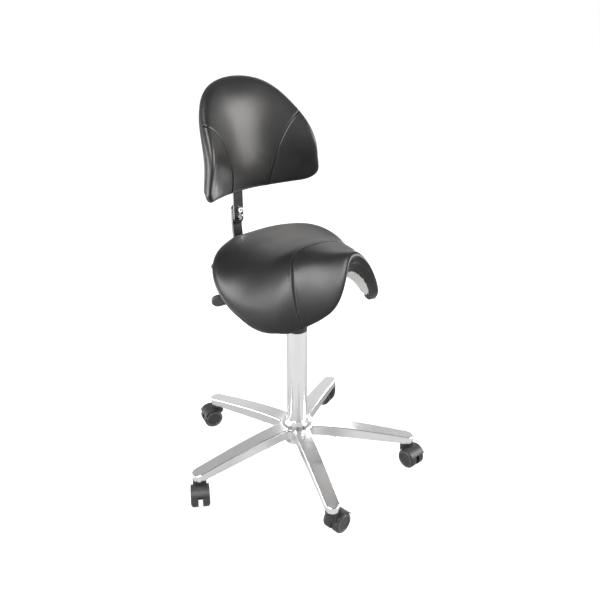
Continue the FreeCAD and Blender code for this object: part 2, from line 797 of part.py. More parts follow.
def carrier_bolt(y):
    low = carrier_floor_top - carrier_thickness
    bolt = rod(carrier_bolt_radius, (0, y, low - 2), (0, y, carrier_floor_top + bar_thickness))
    head = rod(carrier_bolt_radius + 3, (0, y, carrier_floor_top + bar_thickness),
               (0, y, carrier_floor_top + bar_thickness + 4.5))
    nut = rod(carrier_bolt_radius + 2.6, (0, y, low - 5), (0, y, low))
    return bolt.multiFuse([head, nut])


stem_middle_y = bar_lap_y - bar_thickness / 2 - stem_thickness / 2


def stem_front_y(z):
    """Front face of the stem's upper run, which lies on the shell's bosses."""
    seat = back_surface_y(0, back_boss_z) + soft_gap + back_shell_thickness + back_boss_stand
    return seat + (z - back_boss_z) * math.tan(math.radians(stem_lean))


def stem_normal():
    rake = math.radians(stem_lean)
    return vec(0, math.cos(rake), -math.sin(rake))


def back_stem():
    """Flat stem: straight up from the lap, back behind the pad, then up along the shell."""
    half = stem_thickness / 2 / math.cos(math.radians(stem_lean))
    points = [
        vec(0, stem_middle_y, lap_bottom), vec(0, stem_middle_y, stem_knee_z),
        vec(0, stem_front_y(stem_foot_z) + half, stem_foot_z),
        vec(0, stem_front_y(stem_end_z) + half, stem_end_z),
    ]
    edges = [Part.LineSegment(a, b).toShape() for a, b in zip(points, points[1:])]
    stem = strip(edges, stem_thickness, bar_width, 2.0)
    stem = round_end(stem, lap_bottom, stem_middle_y, bar_width, False)
    for z in lap_screw_z:
        stem = stem.cut(level_drill(lap_screw_radius + seat_gap, z))
    for z in back_screw_z:
        stem = stem.cut(rod(screw_radius + seat_gap, *back_screw_line(z)))
    return stem


def back_screw_line(z):
    """Middle line of a screw, from inside the shell out past the stem."""
    face = vec(0, stem_front_y(z), z)
    inward = back_boss_stand + back_shell_thickness - 1.2
    return face - stem_normal() * inward, face + stem_normal() * 30


def back_screw(z):
    rear = vec(0, stem_front_y(z), z) + stem_normal() * stem_thickness
    screw = rod(screw_radius, back_screw_line(z)[0], rear)
    return screw.fuse(rod(screw_head_radius, rear, rear + stem_normal() * screw_head_height))


def lap_screw(z):
    front = stem_middle_y - stem_thickness / 2
    rear = bar_lap_y + bar_thickness / 2
    shank = rod(lap_screw_radius, (0, front, z), (0, rear + lap_nut_height + 2, z))
    head = revolve([
        (0, 0), (lap_head_radius, 0), (lap_head_radius, lap_head_height - 1.2),
        (lap_head_radius - 1.4, lap_head_height), (hex_key_radius, lap_head_height),
        (hex_key_radius, lap_head_height - hex_key_depth), (0, lap_head_height - hex_key_depth),
    ], (0, -1, 0))
    nut = rod(lap_nut_radius, (0, rear, z), (0, rear + lap_nut_height, z))
    return shank.multiFuse([moved(head, 0, front, z), nut])


# ================================================================ levers
def lever_rod(start, end):
    return rod(lever_rod_radius, start, end)


def lever_handle(start, end):
    """Paddle at the end of a lever: a flat rounded blade on a round neck."""
    end_radius = handle_width / 2
    centre = handle_length - end_radius
    half_neck = handle_neck_width / 2
    # the sides run from the neck to where they touch the round end
    touch = math.atan2(half_neck, -centre) - math.acos(end_radius / math.hypot(centre, half_neck))
    upper = vec(centre + end_radius * math.cos(touch), end_radius * math.sin(touch), 0)
    lower = vec(upper.x, -upper.y, 0)
    neck_upper, neck_lower = vec(0, half_neck, 0), vec(0, -half_neck, 0)
    wire = Part.Wire([
        Part.Arc(lower, vec(handle_length, 0, 0), upper).toShape(),
        Part.LineSegment(upper, neck_upper).toShape(),
        Part.LineSegment(neck_upper, neck_lower).toShape(),
        Part.LineSegment(neck_lower, lower).toShape(),
    ])
    blade = Part.Face(wire).extrude(vec(0, 0, handle_thickness))
    rims = [e for e in blade.Edges if abs(e.Vertexes[0].Z - e.Vertexes[-1].Z) < 1e-6]
    blade = blade.makeFillet(2.5, rims)
    blade.translate(vec(0, 0, -handle_thickness / 2))
    neck = Part.makeCylinder(handle_neck_width / 2, 10, vec(-6, 0, 0), vec(1, 0, 0))
    blade = blade.fuse(neck)
    blade = blade.cut(rod(lever_rod_radius + seat_gap, (-10, 0, 0), (handle_cover, 0, 0)))
    # lay the blade along the lever, its flat sides up and down
    direction = Vector(*end) - Vector(*start)
    heading = math.degrees(math.atan2(direction.y, direction.x))
    climb = math.degrees(math.atan2(direction.z, math.hypot(direction.x, direction.y)))
    blade.rotate(vec(0, 0, 0), vec(1, 0, 0), handle_roll)
    blade.rotate(vec(0, 0, 0), vec(0, 1, 0), -climb)
    blade.rotate(vec(0, 0, 0), vec(0, 0, 1), heading)
    place = Vector(*end) - direction.normalize() * handle_cover
    return moved(blade, place.x, place.y, place.z)


# ================================================================ saddle
def smooth(table, at, column):
    """Value of one column between stations, as a smooth curve through them."""
    last = len(table) - 1
    i = 0
    while i < last - 1 and at > table[i + 1][0]:
        i += 1

    def slope(k):
        low = max(k - 1, 0)
        high = min(k + 1, last)
        return (table[high][column] - table[low][column]) / (table[high][0] - table[low][0])

    span = table[i + 1][0] - table[i][0]
    share = (at - table[i][0]) / span
    if share < 0:
        return table[i][column] + slope(i) * (at - table[i][0])
    if share > 1:
        return table[i + 1][column] + slope(i + 1) * (at - table[i + 1][0])
    a, b = table[i][column], table[i + 1][column]
    rise, fall = slope(i) * span, slope(i + 1) * span
    cube, square = share ** 3, share ** 2
    return (a * (2 * cube - 3 * square + 1) + rise * (cube - 2 * square + share)
            + b * (3 * square - 2 * cube) + fall * (cube - square))


def saddle_share(forward, side):
    return abs(side) / smooth(saddle_stations, forward, 1)


def saddle_top(forward, side):
    """Height of the upholstery's top."""
    crest = smooth(saddle_stations, forward, 2)
    drop = smooth(saddle_stations, forward, 3)
    power = smooth(saddle_stations, forward, 4)
    share = saddle_share(forward, side)
    if share > 1:
        return crest - drop * (1 + power * (share - 1))
    return crest - drop * share ** power


def saddle_steepness(forward, side):
    """Vertical length that one millimetre across the pad takes up."""
    step = 4.0
    along = (saddle_top(forward + step, side) - saddle_top(forward - step, side)) / (2 * step)
    across = (saddle_top(forward, side + step) - saddle_top(forward, side - step)) / (2 * step)
    return min(math.sqrt(1 + along ** 2 + across ** 2), steepness_limit)


def saddle_bottom(forward, side):
    share = min(saddle_share(forward, side), 1.5)
    front = min(max((forward - pad_thin_from) / (saddle_stations[-1][0] - pad_thin_from), 0.0), 1.2)
    rear = min(max((-forward - pad_thin_back_from) / (-saddle_rear - pad_thin_back_from), 0.0), 1.2)
    edge = pad_edge_thickness + (pad_lip_thickness - pad_edge_thickness) * front
    rise = min(max((forward - pommel_from) / (pommel_to - pommel_from), 0.0), 1.0)
    middle = pad_middle_thickness + (pommel_thickness - pad_middle_thickness) * rise ** 2 * (3 - 2 * rise)
    fullness = (1 - share ** 2) * (1 - front ** 2) * (1 - rear ** 2)
    thickness = edge + (middle - edge) * fullness
    return saddle_top(forward, side) - thickness * saddle_steepness(forward, side)


def smooth_sheet(place, first, last, count):
    """Smooth cubic face that follows place(u, v); each argument is a pair for u and v."""
    degree = 3
    grids = []
    for k in range(2):
        spans = count[k] - degree
        knots = [first[k] + (last[k] - first[k]) * i / spans for i in range(spans + 1)]
        full = [knots[0]] * degree + knots + [knots[-1]] * degree
        own = [full[i + 1:i + 1 + degree] for i in range(count[k])]
        # how widely each pole's knots spread, which is how much of a bend the face would smooth away
        spread = [(t[0] - t[1]) ** 2 + (t[1] - t[2]) ** 2 + (t[0] - t[2]) ** 2 for t in own]
        grids.append((knots, [degree + 1] + [1] * (spans - 1) + [degree + 1],
                      [(sum(t) / degree, s / 36) for t, s in zip(own, spread)]))
    step = 8.0

    def pole(u, u_share, v, v_share):
        at = place(u, v)
        bend_u = (place(u + step, v) + place(u - step, v) - at * 2) * (1 / step ** 2)
        bend_v = (place(u, v + step) + place(u, v - step) - at * 2) * (1 / step ** 2)
        return at - bend_u * u_share - bend_v * v_share

    poles = [[pole(u, p, v, q) for v, q in grids[1][2]] for u, p in grids[0][2]]
    surface = Part.BSplineSurface()
    surface.buildFromPolesMultsKnots(poles, grids[0][1], grids[1][1], grids[0][0], grids[1][0],
                                     False, False, degree, degree)
    return surface.toShape()


def saddle_sheet(height):
    """Smooth face through a height function over the saddle's plan."""
    return smooth_sheet(lambda forward, side: vec(side, -forward, height(forward, side)),
                        (saddle_rear - 12.0, -208.0), (208.0, 208.0), (15, 18))


def below(sheet):
    return sheet.extrude(vec(0, 0, -tool_length))


def closed_outline(half, first, last, inset, place):
    """Smooth symmetric closed face outline from one half of its points, drawn inset from them.

    The points and the two middle points are (side, along) and are laid in the model by place.
    """
    points = [(0.0, first)] + [(side, along) for along, side in half] + [(0.0, last)]
    points += [(-side, along) for along, side in reversed(half)]
    flat = Part.BSplineCurve()
    flat.interpolate([vec(side, along, 0) for side, along in points], True)
    moved_in = []
    for side, along in points:
        at = flat.parameter(vec(side, along, 0))
        tangent = flat.tangent(at)[0]
        inward = vec(-tangent.y, tangent.x, 0)
        if inward.dot(vec(-side, (first + last) / 2 - along, 0)) < 0:
            inward = inward * -1
        spot = flat.value(at) + inward * inset
        moved_in.append(place(spot.x, spot.y))
    curve = Part.BSplineCurve()
    curve.interpolate(moved_in, True)
    return Part.Face(Part.Wire(curve.toShape()))


def saddle_plan(inset):
    face = closed_outline(saddle_outline, saddle_rear, saddle_lip, inset,
                          lambda side, forward: vec(side, -forward, 0))
    return face.extrude(vec(0, 0, tool_length))


def seat_pad():
    pad = saddle_plan(0).common(below(saddle_sheet(saddle_top)))
    return pad.cut(below(saddle_sheet(saddle_bottom)))


def seat_shell():
    def shell_top(forward, side):
        return saddle_bottom(forward, side) - soft_gap * saddle_steepness(forward, side)

    def shell_bottom(forward, side):
        return saddle_bottom(forward, side) - (soft_gap + shell_thickness) * saddle_steepness(forward, side)

    top = below(saddle_sheet(shell_top))
    shell = saddle_plan(shell_inset).common(top)
    shell = shell.cut(below(saddle_sheet(shell_bottom)))
    bosses = [rod(boss_radius, (x, y, plate_top), (x, y, plate_top + boss_reach))
              for x, y in seat_screw_places()]
    bosses = Part.makeCompound(bosses).common(top)
    shell = shell.multiFuse(bosses.Solids)
    for x, y in seat_screw_places():
        shell = shell.cut(rod(screw_radius + seat_gap, (x, y, 0), (x, y, plate_top + seat_screw_reach + 1)))
    return shell


# ================================================================ backrest
def back_rim_y(side, height):
    """Curved plane of the backrest's rim, which wraps round the rider's sides."""
    wrap = smooth(back_wrap, height, 1) * (side / back_wrap_side) ** 2
    return back_front_low + (height - back_front_low_z) * math.tan(math.radians(back_rake)) - wrap


def back_front_y(side, height):
    """Front of the padding, crowned in the middle."""
    middle = (back_outline_bottom + back_outline_top) / 2
    half_height = (back_outline_top - back_outline_bottom) / 2
    reach = min((side / back_crown_side) ** 2 + ((height - middle) / half_height) ** 2, 1.0)
    return back_rim_y(side, height) - back_crown * (1 - reach ** 2)


def back_surface_y(side, height):
    """Rear face of the backrest's pad."""
    slope = 2 * smooth(back_wrap, height, 1) * side / back_wrap_side ** 2
    return back_rim_y(side, height) + back_edge_thickness * math.sqrt(1 + slope ** 2)


def back_sheet(depth):
    """Smooth upright face through a depth function of the backrest."""
    return smooth_sheet(lambda side, height: vec(side, depth(side, height), height),
                        (-180.0, back_outline_bottom - 15.0), (180.0, back_outline_top + 15.0), (13, 11))


def behind(sheet):
    return sheet.extrude(vec(0, tool_length, 0))


def back_plan(inset):
    half = [(height, side) for side, height in back_outline]
    face = closed_outline(half, back_outline_bottom, back_outline_top, inset,
                          lambda side, height: vec(side, 0, height))
    return face.extrude(vec(0, tool_length, 0))


def back_pad():
    pad = back_plan(0).common(behind(back_sheet(back_front_y)))
    return pad.cut(behind(back_sheet(back_surface_y)))


def back_shell():
    def front(side, height):
        return back_surface_y(side, height) + soft_gap

    def rear(side, height):
        return back_surface_y(side, height) + soft_gap + back_shell_thickness

    shell = back_plan(back_shell_inset).common(behind(back_sheet(front)))
    shell = shell.cut(behind(back_sheet(rear)))
    for z in back_screw_z:
        face = vec(0, stem_front_y(z), z)
        inward = back_boss_stand + back_shell_thickness + 3
        boss = rod(back_boss_radius, face - stem_normal() * inward, face)
        shell = shell.fuse(boss.common(behind(back_sheet(front))))
    for z in back_screw_z:
        shell = shell.cut(rod(screw_radius + seat_gap, *back_screw_line(z)))
    return shell


# ================================================================ all pieces
save("star_base", star_base())
save("column_tube", column_tube())
save("guide_collar", guide_bush())
save("gas_cylinder", gas_cylinder())
save("piston_rod", piston_rod())
save("thrust_bearing", ring(rod_radius + running_gap, bearing_radius, floor_top, floor_top + bearing_height))
save("bearing_washer", ring(rod_radius + seat_gap, bearing_radius, floor_top + bearing_height,
                            floor_top + bearing_height + washer_height))
save("bump_stop", ring(rod_radius + seat_gap, bump_stop_radius, floor_top + bearing_height + washer_height,
                       cylinder_bottom - soft_gap))
save("rod_clip", ring(rod_radius + seat_gap, clip_radius, tube_bottom - clip_gap - clip_height,
                      tube_bottom - clip_gap))
save("release_button", release_button())
save_castors()
save("mechanism_housing", mechanism_housing())
save("tilt_pin", headed_pin(tilt_pin_half, tilt_pin_y, tilt_pin_z))
save("recline_pin", headed_pin(recline_pin_half, recline_pin_y, recline_pin_z))
save("seat_plate", seat_plate())
for index, (screw_x, screw_y) in enumerate(seat_screw_places()):
    save("seat_screw_%d" % (index + 1), seat_screw(screw_x, screw_y))
save("seat_shell", seat_shell())
save("seat_pad", seat_pad())
save("back_carrier", back_carrier())
save("back_bar", back_bar())
save("back_stem", back_stem())
for index, screw_y in enumerate(carrier_bolt_y):
    save("carrier_bolt_%d" % (index + 1), carrier_bolt(screw_y))
for index, screw_z in enumerate(lap_screw_z):
    save("lap_screw_%d" % (index + 1), lap_screw(screw_z))
for index, screw_z in enumerate(back_screw_z):
    save("back_screw_%d" % (index + 1), back_screw(screw_z))
save("back_shell", back_shell())
save("back_pad", back_pad())
save("height_lever", lever_rod(height_lever_inner, height_lever_outer))
save("height_handle", lever_handle(height_lever_inner, height_lever_outer))
save("tilt_lever", lever_rod(tilt_lever_inner, tilt_lever_outer))
save("tilt_handle", lever_handle(tilt_lever_inner, tilt_lever_outer))
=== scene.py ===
"""Looks for a saddle stool with a wrap-round backrest on a polished five-arm castor base.

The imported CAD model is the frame: its rigid nodes keep their shape and get procedural materials
here. The two upholstered parts are modelled again as soft pieces. Both have seams, and the saddle
also has stitches and gathered leather under its rim. Everything is in metres, in the frame of the
CAD model: +Z up, the rider faces -Y.
"""

import json
import math

import bpy
import numpy as np
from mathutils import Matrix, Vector
from mathutils.bvhtree import BVHTree
from mathutils.kdtree import KDTree

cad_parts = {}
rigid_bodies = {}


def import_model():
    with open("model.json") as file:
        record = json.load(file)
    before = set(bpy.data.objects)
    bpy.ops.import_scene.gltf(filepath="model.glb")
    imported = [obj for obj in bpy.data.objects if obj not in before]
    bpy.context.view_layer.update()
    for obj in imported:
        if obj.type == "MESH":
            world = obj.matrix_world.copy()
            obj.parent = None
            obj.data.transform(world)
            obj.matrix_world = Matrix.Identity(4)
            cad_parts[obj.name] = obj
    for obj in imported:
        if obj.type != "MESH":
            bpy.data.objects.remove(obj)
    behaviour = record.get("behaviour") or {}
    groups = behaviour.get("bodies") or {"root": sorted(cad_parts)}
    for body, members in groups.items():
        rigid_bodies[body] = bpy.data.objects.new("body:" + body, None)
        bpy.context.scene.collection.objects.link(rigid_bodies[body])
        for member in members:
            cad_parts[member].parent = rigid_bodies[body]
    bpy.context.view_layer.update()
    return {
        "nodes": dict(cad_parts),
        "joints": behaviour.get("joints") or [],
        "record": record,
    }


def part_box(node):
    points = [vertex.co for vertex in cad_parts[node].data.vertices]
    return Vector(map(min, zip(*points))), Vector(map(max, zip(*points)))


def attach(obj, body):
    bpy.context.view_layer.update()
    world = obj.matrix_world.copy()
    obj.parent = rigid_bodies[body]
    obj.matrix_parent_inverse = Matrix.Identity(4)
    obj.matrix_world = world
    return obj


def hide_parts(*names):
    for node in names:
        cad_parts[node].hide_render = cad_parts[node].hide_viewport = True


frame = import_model()
nodes = frame["nodes"]

# ---------------------------------------------------------------- camera and studio sizes
CAMERA_AIM = (0.0, 0.0, 0.458)
CAMERA_ASIDE = 0.0076
CAMERA_DISTANCE = 1.748
CAMERA_ELEVATION = math.radians(24.96)
CAMERA_SIDE = math.radians(42.7)
LENS = 44.53
SENSOR = 36.0
LAMPS_AIM = (0.0, 0.0, 0.6)
FLOOR_HALF = 6.0

# Brightness of the room that polished pieces mirror, by the sine of the height above the horizon
SKY_FOR_GLOSS = ((0.02, 0.82), (0.33, 0.80), (0.52, 0.58), (0.82, 0.44))
SKY_AT_HORIZON = (0.70, 0.70, 0.70, 1)
SKY_AT_TOP = (0.22, 0.22, 0.225, 1)
WORLD_STRENGTH = 0.30
FLOOR_PAINT = (0.42, 0.42, 0.42, 1)
FLOOR_GLOW_SEEN = 0.94          # added to the paint for the camera, so that the floor shows white
FLOOR_GLOW_MIRRORED = 0.02

# ---------------------------------------------------------------- upholstery sizes
SOFT_RINGS = 76
SOFT_RIM_RINGS = 9
SOFT_RIM = 0.011                # width of the band in which the two faces close in on each other
SOFT_RIM_GROWTH = 0.0026        # makes up for what the smoothing takes from the rim
SOFT_SMOOTHING = 22
SOFT_WAYS = 720                 # directions in which the edge of a sheet is looked for
SOFT_SEARCH = (0.02, 0.40)      # how near and how far the edge is looked for
SOFT_SLOPE_STEP = 0.006         # how far inward a face's slope is measured
SOFT_STEEPEST = 2.2
CLOTH_FRAMES = 13
CLOTH_EVENING = 60              # rounds in which the swelling is shared between neighbours
CLOTH_PRESSURE = 3.0
CLOTH_SWELL = 0.003             # the most that the cloth's pressure may add
HELD_BY_SEAM = 0.004            # points nearer to a seam than this stay where they are
SEAM_DEPTH = 0.0018
SEAM_WIDTH = 0.0016
SEAM_STEP = 0.0012
# The lips beside a seam's groove: height as a share of its depth, place and width by its width
LIP_HEIGHT, LIP_ASIDE, LIP_WIDTH = 0.22, 2.6, 1.5
SEAM_SHADE_WIDTH = 0.75          # width of the painted shade line in a seam's groove, by the seam's width
STITCH_PITCH = 0.0042
STITCH_ASIDE = 0.0032
STITCH_LENGTH = 0.0030
STITCH_RADIUS = 0.00038
STITCH_SIDES = 6
# A stitch's sections: (place along it, share of its thickness)
STITCH_SECTIONS = ((-0.5, 0.25), (-0.36, 0.85), (0.0, 1.0), (0.36, 0.85), (0.5, 0.25))


# ---------------------------------------------------------------- node-tree helpers
class Tree:
    """A material's node tree, with short calls for the nodes that the materials share."""

    def __init__(self, name):
        self.material = bpy.data.materials.new(name)
        self.material.use_nodes = True
        self.nodes = self.material.node_tree.nodes
        self.links = self.material.node_tree.links
        self.nodes.clear()
        self.output = self.add("ShaderNodeOutputMaterial")
        self.shader = self.add("ShaderNodeBsdfPrincipled")
        self.links.new(self.shader.outputs[0], self.output.inputs["Surface"])
        self.place = self.add("ShaderNodeTexCoord").outputs["Object"]
        self.last_normal = None

    def add(self, kind, **settings):
        node = self.nodes.new(kind)
        for key, value in settings.items():
            setattr(node, key, value)
        return node

    def set(self, **values):
        for key, value in values.items():
            self.shader.inputs[key.replace("_", " ")].default_value = value

    def mapped(self, scale):
        node = self.add("ShaderNodeMapping")
        node.inputs["Scale"].default_value = scale
        self.links.new(self.place, node.inputs["Vector"])
        return node.outputs[0]

    def noise(self, scale, detail=3.0, rough=0.55, stretch=None, distortion=0.0):
        node = self.add("ShaderNodeTexNoise")
        node.inputs["Scale"].default_value = scale
        node.inputs["Detail"].default_value = detail
        node.inputs["Roughness"].default_value = rough
        node.inputs["Distortion"].default_value = distortion
        self.links.new(self.mapped(stretch) if stretch else self.place, node.inputs["Vector"])
        return node.outputs["Fac"]

    def cells(self, scale):
        node = self.add("ShaderNodeTexVoronoi")
        node.inputs["Scale"].default_value = scale
        self.links.new(self.place, node.inputs["Vector"])
        return node.outputs["Distance"]

    def ramp(self, source, stops):
        """A ramp between two greys. stops holds each one's position and value."""
        node = self.add("ShaderNodeValToRGB")
        for element, (position, grey) in zip(node.color_ramp.elements, stops):
            element.position = position
            element.color = (grey, grey, grey, 1)
        self.links.new(source, node.inputs["Fac"])
        return node.outputs["Color"]

    def scaled(self, source, low, high, from_low=0.0, from_high=1.0):
        node = self.add("ShaderNodeMapRange")
        ends = {"From Min": from_low, "From Max": from_high, "To Min": low, "To Max": high}
        for key, value in ends.items():
            node.inputs[key].default_value = value
        self.links.new(source, node.inputs["Value"])
        return node.outputs["Result"]

    def sum(self, a, b):
        node = self.add("ShaderNodeMath", operation="ADD")
        self.links.new(a, node.inputs[0])
        self.links.new(b, node.inputs[1])
        return node.outputs[0]

    def mixed(self, factor, a, b):
        """A mix of two colours. The colour sockets of a Mix node are inputs 6 and 7, output 2."""
        node = self.add("ShaderNodeMix", data_type="RGBA")
        self.links.new(factor, node.inputs[0])
        for value, socket in ((a, node.inputs[6]), (b, node.inputs[7])):
            if isinstance(value, tuple):
                socket.default_value = (*value, 1)
            else:
                self.links.new(value, socket)
        return node.outputs[2]

    def bump(self, height, strength, distance):
        node = self.add("ShaderNodeBump")
        node.inputs["Strength"].default_value = strength
        node.inputs["Distance"].default_value = distance
        self.links.new(height, node.inputs["Height"])
        if self.last_normal is not None:
            self.links.new(self.last_normal, node.inputs["Normal"])
        self.last_normal = node.outputs["Normal"]

    def attribute(self, name):
        return self.add("ShaderNodeAttribute", attribute_name=name).outputs["Fac"]

    def finish(self, colour, roughness):
        self.links.new(colour, self.shader.inputs["Base Color"])
        self.links.new(roughness, self.shader.inputs["Roughness"])
        self.links.new(self.last_normal, self.shader.inputs["Normal"])
        return self.material


# ---------------------------------------------------------------- materials
def leather(name):
    """Smooth black leather: fine pebble grain, soft creases, greyer where it is rubbed, and painted
    shade in the seams' grooves.
    """
    t = Tree(name)
    cloud = t.noise(9.0, 4.0)
    fine = t.noise(420.0, 2.0)
    grain = t.cells(1050.0)
    pore = t.cells(2300.0)
    rub = t.ramp(t.noise(26.0, 5.0, 0.6), [(0.35, 0.0), (0.75, 1.0)])
    seam = t.attribute("seam")
    colour = t.mixed(rub, (0.0045, 0.0044, 0.0048), (0.0080, 0.0078, 0.0082))
    # Painted shade: along the seams' grooves the leather is darkened towards near black.
    colour = t.mixed(t.scaled(seam, 0.0, 0.8), colour, (0.0015, 0.0015, 0.0016))
    roughness = t.scaled(cloud, 0.36, 0.43, 0.3, 0.7)
    roughness = t.sum(roughness, t.scaled(fine, -0.03, 0.03))
    t.bump(t.noise(60.0, 3.0), 0.10, 0.0012)
    t.bump(grain, 0.16, 0.00035)
    t.bump(pore, 0.08, 0.00016)
    # Painted shade: the seam mark also turns the reflection down in the grooves, so they stay dark.
    t.links.new(t.scaled(seam, 0.50, 0.04), t.shader.inputs["Specular IOR Level"])
    t.set(Sheen_Weight=0.01, Sheen_Roughness=0.45, Coat_Weight=0.02, Coat_Roughness=0.32)
    return t.finish(colour, roughness)


def thread(name):
    """Bonded black sewing thread with a light twist."""
    t = Tree(name)
    twist = t.noise(2600.0, 1.0)
    t.bump(twist, 0.4, 0.0002)
    t.set(Sheen_Weight=0.25)
    return t.finish(t.ramp(twist, [(0.3, 0.012), (0.8, 0.035)]), t.scaled(twist, 0.5, 0.7))


def polished_aluminium(name):
    """Buffed cast aluminium: mirror-like with faint polishing waves and a thin haze."""
    t = Tree(name)
    wave = t.noise(18.0, 2.0, 0.5, distortion=0.3)
    haze = t.noise(70.0, 4.0)
    line = t.noise(900.0, 2.0, 0.6, stretch=(0.12, 0.12, 1.0))
    colour = t.mixed(haze, (0.79, 0.79, 0.795), (0.86, 0.86, 0.862))
    t.bump(wave, 0.18, 0.0016)
    t.bump(line, 0.03, 0.0002)
    t.set(Metallic=1.0)
    return t.finish(colour, t.scaled(haze, 0.12, 0.20, 0.3, 0.7))


def bright_tube(name):
    """Chromed steel tube with faint lengthwise polishing lines."""
    t = Tree(name)
    line = t.noise(240.0, 2.0, 0.5, stretch=(1.0, 1.0, 0.02))
    smudge = t.noise(22.0, 4.0)
    t.bump(line, 0.05, 0.0004)
    t.set(Metallic=1.0)
    colour = t.mixed(smudge, (0.85, 0.855, 0.86), (0.91, 0.91, 0.915))
    return t.finish(colour, t.scaled(smudge, 0.05, 0.11, 0.3, 0.7))


def moulded_plastic(name, low, high, roughness, grain):
    """Moulded plastic: spark-eroded grain, slight colour drift, duller where it is touched."""
    t = Tree(name)
    drift = t.noise(30.0, 4.0)
    t.bump(t.noise(1500.0, 2.0), grain, 0.00025)
    t.bump(t.noise(120.0, 2.0), 0.05, 0.0005)
    t.set(Specular_IOR_Level=0.5)
    colour = t.mixed(t.ramp(drift, [(0.3, 0.0), (0.7, 1.0)]), low, high)
    return t.finish(colour, t.scaled(drift, roughness - 0.06, roughness + 0.06, 0.3, 0.7))


def steel(name, low, high, roughness):
    """Zinc-plated or ground steel: fine turned lines and small stains."""
    t = Tree(name)
    stain = t.noise(90.0, 5.0, 0.65)
    t.bump(t.noise(1300.0, 2.0), 0.08, 0.0002)
    t.set(Metallic=1.0)
    dull = t.scaled(stain, roughness - 0.05, roughness + 0.09, 0.3, 0.7)
    return t.finish(t.mixed(stain, low, high), dull)


def painted_steel(name):
    """Black powder-coated steel: glossy, with the orange peel that such a coat has."""
    t = Tree(name)
    peel = t.noise(380.0, 2.0, 0.5)
    worn = t.noise(45.0, 5.0, 0.7)
    t.bump(peel, 0.22, 0.0004)
    t.set(Specular_IOR_Level=0.55, Coat_Weight=0.25, Coat_Roughness=0.12)
    rub = t.ramp(worn, [(0.45, 0.0), (0.8, 1.0)])
    colour = t.mixed(rub, (0.010, 0.010, 0.011), (0.022, 0.022, 0.023))
    return t.finish(colour, t.scaled(worn, 0.24, 0.38, 0.3, 0.7))


# Moulded plastics by slot: (the material's name, two colours, roughness, strength of the grain)
PLASTICS = {
    "black_plastic": ("black_plastic", (0.014, 0.014, 0.015), (0.024, 0.024, 0.025), 0.42, 0.20),
    "wheel_plastic": ("wheel_plastic", (0.020, 0.020, 0.022), (0.036, 0.036, 0.038), 0.40, 0.14),
    "disc_ring": ("disc_plastic", (0.060, 0.064, 0.064), (0.090, 0.096, 0.095), 0.38, 0.10),
    "rubber": ("rubber", (0.012, 0.012, 0.012), (0.026, 0.026, 0.026), 0.72, 0.30),
    "shell_plastic": ("pale_shell", (0.72, 0.71, 0.69), (0.80, 0.79, 0.77), 0.42, 0.18),
    "dark_shell": ("dark_shell", (0.018, 0.018, 0.019), (0.030, 0.030, 0.031), 0.52, 0.26),
}


def make_materials():
    """One material for each slot of the record, plus those that only pieces made here use."""
    materials = {
        "upholstery": leather("saddle_leather"),
        "thread": thread("black_thread"),
        "polished_base": polished_aluminium("polished_aluminium"),
        "bright_tube": bright_tube("chromed_tube"),
        "steel": steel("plated_steel", (0.52, 0.52, 0.50), (0.72, 0.72, 0.71), 0.27),
        "black_steel": painted_steel("black_powder_coat"),
    }
    for slot, look in PLASTICS.items():
        materials[slot] = moulded_plastic(*look)
    return materials


# ---------------------------------------------------------------- mesh helpers
def new_mesh(name, verts, faces, material, smooth=True):
    mesh = bpy.data.meshes.new(name)
    mesh.from_pydata([tuple(v) for v in verts], [], [tuple(f) for f in faces])
    mesh.validate()
    mesh.shade_smooth() if smooth else mesh.shade_flat()
    mesh.materials.append(material)
    thing = bpy.data.objects.new(name, mesh)
    bpy.context.scene.collection.objects.link(thing)
    return thing


def points_of(mesh):
    places = np.empty(len(mesh.vertices) * 3)
    mesh.vertices.foreach_get("co", places)
    return places.reshape(-1, 3)


def normals_of(mesh):
    values = np.empty(len(mesh.vertices) * 3, np.float32)
    mesh.vertex_normals.foreach_get("vector", values)
    return values.reshape(-1, 3).astype(float)


def move_points(mesh, places):
    mesh.vertices.foreach_set("co", np.asarray(places, np.float32).ravel())
    mesh.update()


def applied(thing, kind, **settings):
    """Adds one modifier to thing and replaces its mesh by the result."""
    modifier = thing.modifiers.new(kind.lower(), kind)
    for key, value in settings.items():
        setattr(modifier, key, value)
    graph = bpy.context.evaluated_depsgraph_get()
    made = bpy.data.meshes.new_from_object(thing.evaluated_get(graph))
    thing.modifiers.clear()
    old = thing.data
    thing.data = made
    bpy.data.meshes.remove(old)
    return thing


def surface_tree(thing):
    graph = bpy.context.evaluated_depsgraph_get()
    return BVHTree.FromObject(thing, graph)


def lengths_along(points):
    """For each point of a polyline, how far along the line it is."""
    runs = np.linalg.norm(np.diff(points, axis=0), axis=1)
    return np.concatenate([[0.0], np.cumsum(runs)])


def placed_along(points, reach, at):
    """The places of a polyline that are at the given lengths along it."""
    return np.stack([np.interp(at, reach, points[:, k]) for k in range(3)], axis=1)


def along(points, step):
    """Points at an even step along the polyline."""
    points = np.asarray(points, float)
    reach = lengths_along(points)
    count = max(2, int(reach[-1] / step) + 1)
    return placed_along(points, reach, np.linspace(0.0, reach[-1], count))


def loop_smoothed(values, rounds):
    """A closed row of values, each one averaged with the two beside it."""
    for _ in range(rounds):
        before, after = np.roll(values, 1, axis=0), np.roll(values, -1, axis=0)
        values = 0.25 * before + 0.5 * values + 0.25 * after
    return values


def ring_bands(first, rings, sides):
    """The faces that join the rings of a tube, and its two ends. first is its first point."""
    faces = []
    for row in range(rings - 1):
        for k in range(sides):
            a, b = first + row * sides + k, first + row * sides + (k + 1) % sides
            faces.append((a, b, b + sides, a + sides))
    last = first + (rings - 1) * sides
    faces.append([first + k for k in range(sides)][::-1])
    faces.append([last + k for k in range(sides)])
    return faces


def distance_to(points, line):
    """For every point, the distance to the nearest of the line's points."""
    tree = KDTree(len(line))
    for k, place in enumerate(line):
        tree.insert(place, k)
    tree.balance()
    return np.array([tree.find(place)[2] for place in points])


